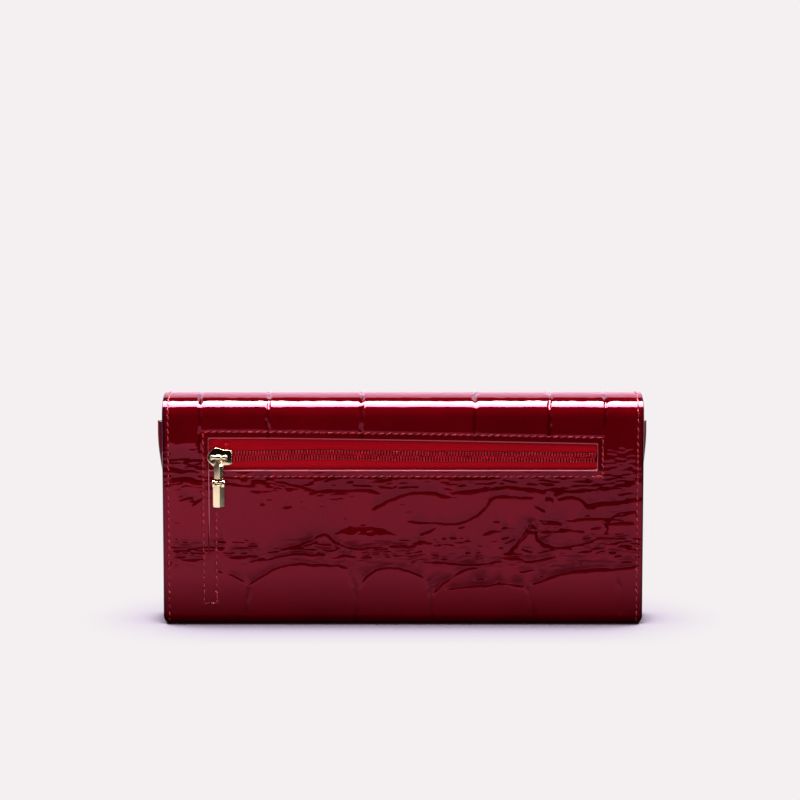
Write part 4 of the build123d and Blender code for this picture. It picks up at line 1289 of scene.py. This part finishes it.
def make_pull():
    """Link on the bridge, and the tab that hangs from it on a pin."""
    low, high = box_mm("pull_link")
    x_mid, bar_y, pin_z = centre_mm("pull_link")[0], centre_mm("pull_pin")[1], centre_mm("pull_pin")[2]
    half = (high[0] - low[0]) / 2
    drop = pin_z - ZIP_Z
    turns = np.linspace(math.radians(250), math.radians(-60), 14)
    eye = [((x_mid, bar_y + 1.1 * math.cos(a), ZIP_Z + 1.1 * math.sin(a)), half * 0.62) for a in turns]
    fit(strap("pull_link_eye", eye, 0.3, METAL, side=(1, 0, 0)), "pull_metal", "pull_link")
    right = [(0.7 * half, drop + 1.2), (half, drop + 1.6), (half, -3.3), (0.8 * half, -2.6), (0.62 * half, -1.0)]
    body = [(-x, z) for x, z in reversed(right)] + right
    link = faceted_bar("pull_link_strap", body, x_mid, bar_y, ZIP_Z, (0.30, 1.05, 0.10, 0.55), ridge=0.33 * half)
    fit(link, "pull_metal", "pull_link", "pull_link")
    profile = [(-1.3, 0.0), (-1.3, 0.6), (-1.15, 0.7), (1.15, 0.7), (1.3, 0.6), (1.3, 0.0)]
    fit(turned("pull_link_barrel", profile, (x_mid, bar_y, pin_z), "x", METAL), "pull_metal", "pull_link")

    low, high = box_mm("pull_tab")
    half = (high[0] - low[0]) / 2
    foot = low[2] - pin_z
    right = [(half - 1.0, foot), (half - 0.35, foot + 0.35), (half, foot + 1.0), (half, -0.85)]
    body = [(-x, z) for x, z in reversed(right)] + right
    tab = faceted_bar("pull_tab_bar", body, x_mid, bar_y, pin_z, (0.45, 1.15, -0.25, 0.95), ridge=0.2 * half)
    fit(tab, "pull_metal", "pull_tab", "pull_tab")
    profile = [(-0.1, 0.0), (-0.1, 0.5), (0.1, 0.5), (0.25, 0.4), (0.32, 0.2), (0.34, 0.0)]
    for side, name, axis in ((-1, "left", "-x"), (1, "right", "x")):
        ear_x = x_mid + side * (half + EAR_FROM) / 2
        ear = ear_plate(f"pull_tab_ear_{name}", ear_x, bar_y, pin_z, (half - EAR_FROM) / 2)
        fit(ear, "pull_metal", "pull_tab")
        head = turned(f"pull_pin_head_{name}", profile, (x_mid + side * half, bar_y, pin_z), axis, METAL)
        fit(head, "pull_metal", "pull_tab")
    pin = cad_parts["pull_pin"].data
    pin.materials.clear()
    pin.materials.append(METAL)


END_SLOPE = 0.45


def faceted_bar(name, outline, x_mid, y_mid, z_mid, depths, ridge):
    """Bar with its outline in (x, z) whose outward face is two facets that meet at a ridge.

    depths are how far the left edge, the ridge and the right edge stand out, and the back's depth.
    """
    outline = np.array(outline)
    z_high, z_low = outline[:, 1].max(), outline[:, 1].min()
    levels = np.unique(np.round(np.r_[outline[:, 1], z_low + END_SLOPE], 4))[::-1]
    left = outline[outline[:, 0] <= 0]
    left = left[np.argsort(left[:, 1])]
    vertices = []
    for z in levels:
        half = -np.interp(z, left[:, 1], left[:, 0])
        ends = min(1.0, 0.5 + 0.5 * (z - z_low) / END_SLOPE)
        left_y, ridge_y, right_y, back_y = (d * ends for d in depths)
        crest = min(ridge, 0.5 * half)
        slope = (ridge_y - left_y) / (crest + half)
        ring = [
            (-half, back_y), (-half, -left_y + 0.25), (-half + 0.22, -left_y), (crest - 0.8, -ridge_y + 0.8 * slope),
            (crest, -ridge_y), (half - 0.12, -right_y - 0.08), (half, -right_y + 0.1), (half, back_y - 0.1),
            (half - 0.15, back_y), (-half + 0.15, back_y),
        ]  # fmt: skip
        vertices += [(x_mid + x, y_mid + y, z_mid + z) for x, y in ring]
    faces = [face[:1] + face[:0:-1] for face in ring_faces(len(levels), len(ring), capped=True)]
    piece = bevelled(mesh_object(name, vertices, faces, [METAL]), 0.13, 3, angle=8)
    piece.modifiers["Rounding"].harden_normals = True
    return piece


def ear_plate(name, x_mid, y_mid, z_mid, half_width):
    """Rounded ear either side of the link's barrel."""
    points = [(EAR_R * math.cos(a), EAR_R * math.sin(a)) for a in np.linspace(0, math.pi, 12)]
    points += [(-EAR_R, -1.8), (EAR_R, -1.8)]
    ring = [(x_mid - half_width, y_mid + y, z_mid + z) for y, z in points]
    return bevelled(extruded(name, ring, (2 * half_width, 0, 0), METAL), 0.15)


def turned(name, profile, centre, axis, material, sides=40):
    """Turned piece: profile of (along, radius) in millimetres, round an axis x, -x or y."""
    sign = -1 if axis.startswith("-") else 1
    vertices = []
    for along, radius in profile:
        for a in np.linspace(0, 2 * math.pi, sides, endpoint=False):
            u, v = radius * math.cos(a), radius * math.sin(a)
            vertices.append((sign * along, u, v) if axis.endswith("x") else (u, along, v))
    vertices = np.array(vertices) + np.array(centre)
    return welded(mesh_object(name, vertices, ring_faces(len(profile), sides), [material]), 1e-6)


def welded(piece, distance, turn_faces=True):
    """Joins vertices that lie within a distance, in metres, and turns the faces outward."""
    build = bmesh.new()
    build.from_mesh(piece.data)
    bmesh.ops.remove_doubles(build, verts=build.verts, dist=distance)
    if turn_faces:
        bmesh.ops.recalc_face_normals(build, faces=build.faces)
    build.to_mesh(piece.data)
    build.free()
    return piece


# ---- Linings, gussets, dividers -----------------------------------------------------------------------
LINING_INSET = 0.75  # the flap's lining ends this far in from the hide's edge
GUSSET_X = 93.6
MOUTH_HALF, MOUTH_HEIGHT = 82.0, 7.0  # half sizes of the opening in the coin bag


def panel(name, y, half_width, z_from, z_to, thickness, material, wave=0.15, top_curve=0.0, seed=0.0, centre=0.0):
    """Upright fabric sheet, a little uneven, with its top edge dipping by top_curve in the middle."""
    x, share = np.meshgrid(np.linspace(-half_width, half_width, 140), np.linspace(0, 1, 60))
    top = z_to - top_curve * (1 - (x / half_width) ** 2)
    z = z_from + share * (top - z_from)
    y = y + wave * noise(x / 22 + seed, z / 18 + seed, 3) * np.sin(math.pi * share)
    return sheet(name, np.stack([x + centre, y, z], -1), [material], thickness)


def hem(name, y, half_width, z, top_curve, material, radius=0.42, centre=0.0):
    """Folded tape along a pocket's top edge."""
    columns = np.linspace(-half_width, half_width, 120)
    turns = np.linspace(0, 2 * math.pi, 12, endpoint=False)
    points = []
    for x in columns:
        middle_z = z - top_curve * (1 - (x / half_width) ** 2) - radius
        points += [(x + centre, y + radius * 0.7 * math.cos(a), middle_z + 2.2 * radius * math.sin(a)) for a in turns]
    return mesh_object(name, points, ring_faces(len(columns), len(turns), capped=True), [material])


def make_linings():
    """Fabric sheets inside the back, front, foot and flap."""
    for node, body in (("back_lining", "wallet_back"), ("front_lining", "front")):
        low, high = box_mm(node)
        cloth = panel(f"{node}_cloth", centre_mm(node)[1], high[0], low[2], high[2], 0.3, LINING, wave=0.2)
        fit(cloth, "lining_fabric", body, node)

    low, high = box_mm("foot_lining")
    x, y = np.meshgrid(np.linspace(low[0], high[0], 100), np.linspace(low[1], high[1], 12))
    z = centre_mm("foot_lining")[2] + 0.08 * noise(x / 15, y / 7, 1)
    foot = sheet("foot_lining_cloth", np.stack([x, y, z], -1), [LINING], 0.3)
    fit(foot, "lining_fabric", "wallet_back", "foot_lining")

    back_y, back_top = centre_mm("back_lining")[1], box_mm("back_lining")[1][2]
    y_mid, z_mid, _, _ = hide_course(T_MID_TOP)
    turn = np.linspace(0.08, 1, 14) * QUARTER
    rise = z_mid - LEATHER - 0.58 - back_top - 1.0
    y = np.r_[back_y, back_y + 0.05, back_y + 0.05 + (y_mid - back_y) * (1 - np.cos(turn))]
    z = np.r_[back_top - 1.0, back_top + 1.0, back_top + 1.0 + rise * np.sin(turn)]
    x, row = np.meshgrid(np.linspace(0.5 - HALF_WIDTH, HALF_WIDTH - 0.5, 120), np.arange(len(y)))
    roll = sheet("flap_lining_roll", np.stack([x, y[row], z[row]], -1), [LINING], 0.3)
    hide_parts("flap_lining_top")
    bend(roll)

    t = np.r_[np.linspace(T_MID_TOP, T_FLAP_END - FLAP_CORNER_R, 80), corner_rows(24)]
    x, t = np.meshgrid(np.linspace(-1, 1, 160), t)
    x = x * (flap_half_width(t) - LINING_INSET)
    t = T_MID_TOP + (t - T_MID_TOP) * (1 - LINING_INSET / (T_FLAP_END - T_MID_TOP))
    height = -LEATHER - 0.35 - 0.05 * noise(x / 18, t / 14, 4)
    lining = sheet("flap_lining_cloth", on_hide(x, t, height), [LINING, EDGE], 0.42, rim_material=1, offset=-1.0)
    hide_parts("flap_lining_front")
    bend(lining)


def make_gussets():
    """Folded side sheets."""
    divider_rear, divider_front = centre_mm("rear_divider")[1], centre_mm("front_divider")[1]
    for side, node, outer in ((-1, "gusset_left", HALF_WIDTH + 2.5), (1, "gusset_right", HALF_WIDTH + 1.7)):
        low, high = box_mm(node)
        folds = np.array([
            (GUSSET_X, low[1] + 0.4), (94.4, low[1] + 0.45), (outer, low[1] + 2.6), (90.5, divider_rear - 0.8),
            (outer - 1, (divider_rear + divider_front) / 2), (89.2, divider_front),
            (94.4, high[1] - 0.45), (GUSSET_X, high[1] - 0.4),
        ])  # fmt: skip
        steps = np.linspace(0, 7, 97)
        folds = np.stack([np.interp(steps, np.arange(8), column) for column in folds.T], -1)
        for _ in range(9):
            folds[1:-1] = (folds[:-2] + 2 * folds[1:-1] + folds[2:]) / 4
        x, share = np.meshgrid(folds[:, 0], np.linspace(0, 1, 80))
        y = folds[:, 1] + 0 * share
        z = low[2] + share * (high[2] - low[2] + 2.2 * smoothstep(94, outer - 1, x))
        narrow = 1 - 0.55 * smoothstep(0.95, 0.55, share) - 0.3 * smoothstep(0.5, 0.0, share)
        x = GUSSET_X + (x - GUSSET_X) * narrow + 0.12 * noise(z / 9, y / 4 + side * 3, 5)
        piece = sheet(f"{node}_leather", np.stack([side * x, y, z], -1), [GUSSET, EDGE], 0.8, rim_material=1)
        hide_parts(node)
        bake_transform(piece)


def make_dividers():
    """Stiffened dividers with stepped card pockets and a slip pocket."""
    for node in ("rear_divider", "front_divider"):
        low, high = box_mm(node)
        y = centre_mm(node)[1]
        cloth = panel(f"{node}_panel", y, high[0], low[2], high[2], 0.6, LINING, wave=0.03)
        fit(cloth, "lining_fabric", node, node)
        fit(hem(f"{node}_binding", y, high[0], high[2], 0, GUSSET, 0.5), "gusset_leather", node)
    for row in range(1, 5):
        low, high = box_mm(f"card_pocket_{row}")
        y = centre_mm(f"card_pocket_{row}")[1]
        for side, name in ((-1, "left"), (1, "right")):
            centre = side * high[0] / 2
            half = high[0] / 2 - 0.6
            cloth = panel(
                f"card_pocket_{row}_{name}", y, half, low[2], high[2], 0.22, POCKET, 0.04, 0.0, row * 3.1, centre
            )
            edge = hem(f"card_hem_{row}_{name}", y, half, high[2], 0.0, GUSSET, 0.3, centre)
            fit(cloth, "pocket_fabric", "rear_divider", *([f"card_pocket_{row}"] if side < 0 else []))
            fit(edge, "gusset_leather", "rear_divider", *(["card_pocket_hems"] if side < 0 and row == 1 else []))
    low, high = box_mm("slip_pocket")
    y = high[1] - 0.12
    cloth = panel("slip_pocket_cloth", y, high[0], low[2], high[2], 0.22, POCKET, 0.05, 2.5, 8.0)
    fit(cloth, "pocket_fabric", "front_divider", "slip_pocket")
    fit(hem("slip_pocket_hem", y, high[0], high[2], 2.5, GUSSET, 0.3), "gusset_leather", "front_divider")


def make_bag():
    """Coin bag behind the zip: a soft closed pouch with its mouth cut for the zip."""
    low, high = box_mm("coin_pocket_bag")
    columns = axis_points(low[0], high[0], 2.0, [-MOUTH_HALF, MOUTH_HALF], fine=(0.0,))
    rows = axis_points(low[2], high[2], 2.0, [ZIP_Z - MOUTH_HEIGHT, ZIP_Z + MOUTH_HEIGHT], fine=(0.0,))
    x, z = np.meshgrid(columns, rows)
    inset = np.minimum(np.minimum(x - low[0], high[0] - x), np.minimum(z - low[2], high[2] - z))
    puff = smoothstep(0, 6, inset)
    middle = (low[1] + high[1]) / 2
    depth = (high[1] - low[1]) / 2 - 0.15
    front = middle - depth * puff + 0.12 * noise(x / 13, z / 10, 2) * puff
    back = middle + depth * puff + 0.12 * noise(x / 12, z / 9, 4) * puff
    quad_x, quad_z = np.meshgrid((columns[1:] + columns[:-1]) / 2, (rows[1:] + rows[:-1]) / 2)
    keep = ~((np.abs(quad_x) < MOUTH_HALF) & (np.abs(quad_z - ZIP_Z) < MOUTH_HEIGHT))
    front_faces = grid_faces(len(rows), len(columns), keep)
    back_faces = grid_faces(len(rows), len(columns))[:, ::-1] + len(rows) * len(columns)
    points = np.concatenate([np.stack([x, y, z], -1).reshape(-1, 3) for y in (front, back)])
    points, faces, _ = drop_loose(points, np.concatenate([front_faces, back_faces]), {})
    piece = welded(mesh_object("coin_bag_cloth", points, faces, [LINING]), 2e-5, turn_faces=False)
    fit(thicken(piece, 0.2), "lining_fabric", "wallet_back", "coin_pocket_bag")


def make_snap():
    """Magnetic snap: ring-shaped socket on the front panel and stud on the flap."""
    low, high = box_mm("snap_socket")
    z = centre_mm("snap_socket")[2]
    r = (high[0] - low[0]) / 2
    profile = [
        (-1.15, r - 0.1), (-0.35, r), (-0.1, r - 0.12), (0.0, r - 0.45), (0.0, 3.5), (-0.08, 3.15), (-0.3, 3.02),
        (-0.85, 3.0), (-0.85, 0.0),
    ]  # fmt: skip
    socket = turned("snap_socket_shell", profile, (0, high[1], z), "y", SNAP_METAL)
    fit(socket, "snap_metal", "front", "snap_socket", "snap_magnet", "snap_socket_washer")
    profile = [
        (1.45, r - 0.1), (1.0, r), (0.88, r - 0.25), (0.85, r - 0.6), (0.85, 2.75), (0.75, 2.5), (0.4, 2.45),
        (0.12, 2.2), (0.0, 1.8), (0.0, 0.0),
    ]  # fmt: skip
    plug = turned("snap_plug_stud", profile, (0, box_mm("snap_plug")[0][1], z), "y", SNAP_METAL)
    fit(plug, "snap_metal", "flap_front", "snap_plug", "snap_plug_washer")


# ---- Stage, light and camera --------------------------------------------------------------------------
PALE = (0.905, 0.871, 0.880)
FLOOR_FRONT = 0.372  # how far in front of the back face reflections still show a bright floor, in metres
FLOOR_RIGHT = 0.17
SHADOW_REACH = 0.042


def stage_material():
    """Pale floor, its contact shadow painted. Reflections see a painted glow: bright only near the wallet, dark beyond.
    """
    n = Nodes("pale_floor")
    n.tree.nodes.remove(n.shader)
    contact = n.add("ShaderNodeAmbientOcclusion", {"Distance": SHADOW_REACH}, samples=12)
    # Painted contact shadow: ambient occlusion turned into darker, lavender-tinted floor colour.
    stops = ((0.0, (0.006, 0.003, 0.005)), (0.49, (0.030, 0.017, 0.027)), (0.543, (0.17, 0.12, 0.165)),
             (0.56, (0.54, 0.44, 0.56)), (0.72, (0.76, 0.67, 0.81)), (0.97, PALE))  # fmt: skip
    seen = n.add("ShaderNodeEmission", {"Color": n.ramp(contact.outputs["AO"], stops)})

    # Glow for reflections and bounce light, painted by position: dark right at the wallet as a painted shadow, bright
    # in a patch around it, varied from left to right.
    position = n.add("ShaderNodeNewGeometry").outputs["Position"]
    parts = n.add("ShaderNodeSeparateXYZ", {0: position})
    x, y = parts.outputs["X"], parts.outputs["Y"]
    beyond_x = n.math("MAXIMUM", n.math("SUBTRACT", n.math("ABSOLUTE", x), HALF_WIDTH * MM))
    beyond_y = n.math("MAXIMUM", n.math("SUBTRACT", n.math("ABSOLUTE", y), FLAP_Y * MM))
    squares = [n.math("MULTIPLY", beyond, beyond) for beyond in (beyond_x, beyond_y)]
    reach = n.math("SQRT", n.math("ADD", *squares))
    near = n.math("GREATER_THAN", n.math("SUBTRACT", y, n.math("MULTIPLY", x, 0.13)), BACK_Y * MM - FLOOR_FRONT)
    behind = n.math("GREATER_THAN", y)
    lit = n.math("MULTIPLY", near, n.math("MAXIMUM", n.math("LESS_THAN", x, FLOOR_RIGHT), behind))
    from_left = n.math("MAXIMUM", n.fade(x, -0.42, -0.20, 0.25), behind)
    glow = n.math("MULTIPLY", n.fade(reach, 0.012, 0.105), from_left)
    glow = n.math("MULTIPLY", glow, n.fade(x, -0.13, -0.05, 1.36, 1.06))
    strength = n.math("ADD", n.math("MULTIPLY", lit, glow), DARK_ROOM)
    mirrored = n.add("ShaderNodeEmission", {"Color": PALE, "Strength": strength})
    camera_ray = n.add("ShaderNodeLightPath").outputs["Is Camera Ray"]
    mix = n.add("ShaderNodeMixShader", {0: camera_ray, 1: mirrored.outputs[0], 2: seen.outputs[0]})
    n.feed(n.tree.nodes["Material Output"].inputs["Surface"], mix.outputs[0])
    return n.material


BACKDROP_SLOPE = 0.82
BACKDROP_TINT = (0.905, 0.62, 0.82)
BACKDROP_GLOW = 1.9
SIDE_GLOW = 0.55
DARK_ROOM = 0.004


def make_world():
    """Pale to the camera; to everything else, bright behind the wallet and at its left, dark in front and above."""
    world = bpy.data.worlds.new("studio")
    bpy.context.scene.world = world
    world.use_nodes = True
    n = Tree(world.node_tree)
    direction = n.add("ShaderNodeTexCoord").outputs["Generated"]
    x, y, z = n.add("ShaderNodeSeparateXYZ", {0: direction}).outputs
    slope = n.math("DIVIDE", z, n.math("MAXIMUM", y, 0.001))
    backdrop = n.math("MULTIPLY", n.math("GREATER_THAN", y), n.math("LESS_THAN", slope, BACKDROP_SLOPE))
    side = n.math("MULTIPLY", n.math("LESS_THAN", x, -0.45), n.math("LESS_THAN", z, 0.6))
    glow = n.math("MAXIMUM", n.math("MULTIPLY", backdrop, BACKDROP_GLOW), n.math("MULTIPLY", side, SIDE_GLOW))
    glow = n.math("MAXIMUM", glow, DARK_ROOM)
    camera_ray = n.add("ShaderNodeLightPath").outputs["Is Camera Ray"]
    background = world.node_tree.nodes["Background"].inputs
    unseen = n.math("MULTIPLY", glow, n.math("SUBTRACT", 1.0, camera_ray))
    n.feed(background["Strength"], n.math("ADD", unseen, camera_ray))
    n.feed(background["Color"], n.mix(camera_ray, BACKDROP_TINT, PALE))


def area_light(name, place, target, width, height, watts, glossy=True, diffuse=True):
    """Rectangular lamp that faces its target and that the camera doesn't see."""
    data = bpy.data.lights.new(name, "AREA")
    data.shape = "RECTANGLE"
    data.size, data.size_y = width, height
    data.energy = watts
    light = bpy.data.objects.new(name, data)
    bpy.context.scene.collection.objects.link(light)
    light.location = place
    light.rotation_mode = "QUATERNION"
    light.rotation_quaternion = (Vector(target) - Vector(place)).to_track_quat("-Z", "Y")
    light.visible_glossy = glossy
    light.visible_diffuse = diffuse
    light.visible_camera = False


def make_stage():
    """Floor, backdrop and lamps."""
    corners = [(-8000, -8000, 0), (8000, -8000, 0), (8000, 40000, 0), (-8000, 40000, 0)]
    mesh_object("stage_floor", corners, [(0, 1, 2, 3)], [stage_material()])
    make_world()
    area_light("softbox", (0, 0.05, 1.25), (0, 0, 0), 0.9, 0.9, 27.0, glossy=False)
    area_light("softbox_shine", (0, 0.19, 1.25), (0, 0.19, 0), 1.3, 0.80, 135, diffuse=False)
    area_light("rim_strip", (1.5, -0.45, 0.35), (0, 0, 0.06), 0.5, 0.7, 16, diffuse=False)
    area_light("front_fill", (0.1, -1.4, 0.9), (0, 0, 0.05), 0.8, 0.8, 5.5, glossy=False)
    area_light("back_fill", (-0.2, 1.5, 0.9), (0, 0, 0.05), 0.8, 0.8, 4.0, glossy=False)


CAMERA_DISTANCE = 1.25
CAMERA_TARGET_Z = 0.046
CAMERA_ELEVATION = 10.0
CAMERA_LENS = 138.54
CAMERA_TILT = 2.114  # degrees up from the wallet's middle
CAMERA_PAN = 0.056  # degrees left, which sets the wallet a little right of the middle


def make_camera():
    """Camera at the photograph's viewing angle."""
    target = Vector((0, BACK_Y * MM, CAMERA_TARGET_Z))
    up = math.radians(CAMERA_ELEVATION)
    data = bpy.data.cameras.new("camera")
    data.lens = CAMERA_LENS
    data.sensor_width = 36.0
    data.clip_start, data.clip_end = 0.05, 100
    camera = bpy.data.objects.new("camera", data)
    bpy.context.scene.collection.objects.link(camera)
    camera.location = target + CAMERA_DISTANCE * Vector((0, -math.cos(up), math.sin(up)))
    camera.rotation_euler = (math.radians(90 - CAMERA_ELEVATION + CAMERA_TILT), 0, math.radians(CAMERA_PAN))
    bpy.context.scene.camera = camera


# ---- Build --------------------------------------------------------------------------------------------
make_cover()
make_stitches()
make_zip()
make_knot()
make_slider()
make_pull()
make_linings()
make_gussets()
make_dividers()
make_bag()
make_snap()
make_stage()
make_camera()
bpy.context.scene.view_settings.view_transform = "Standard"
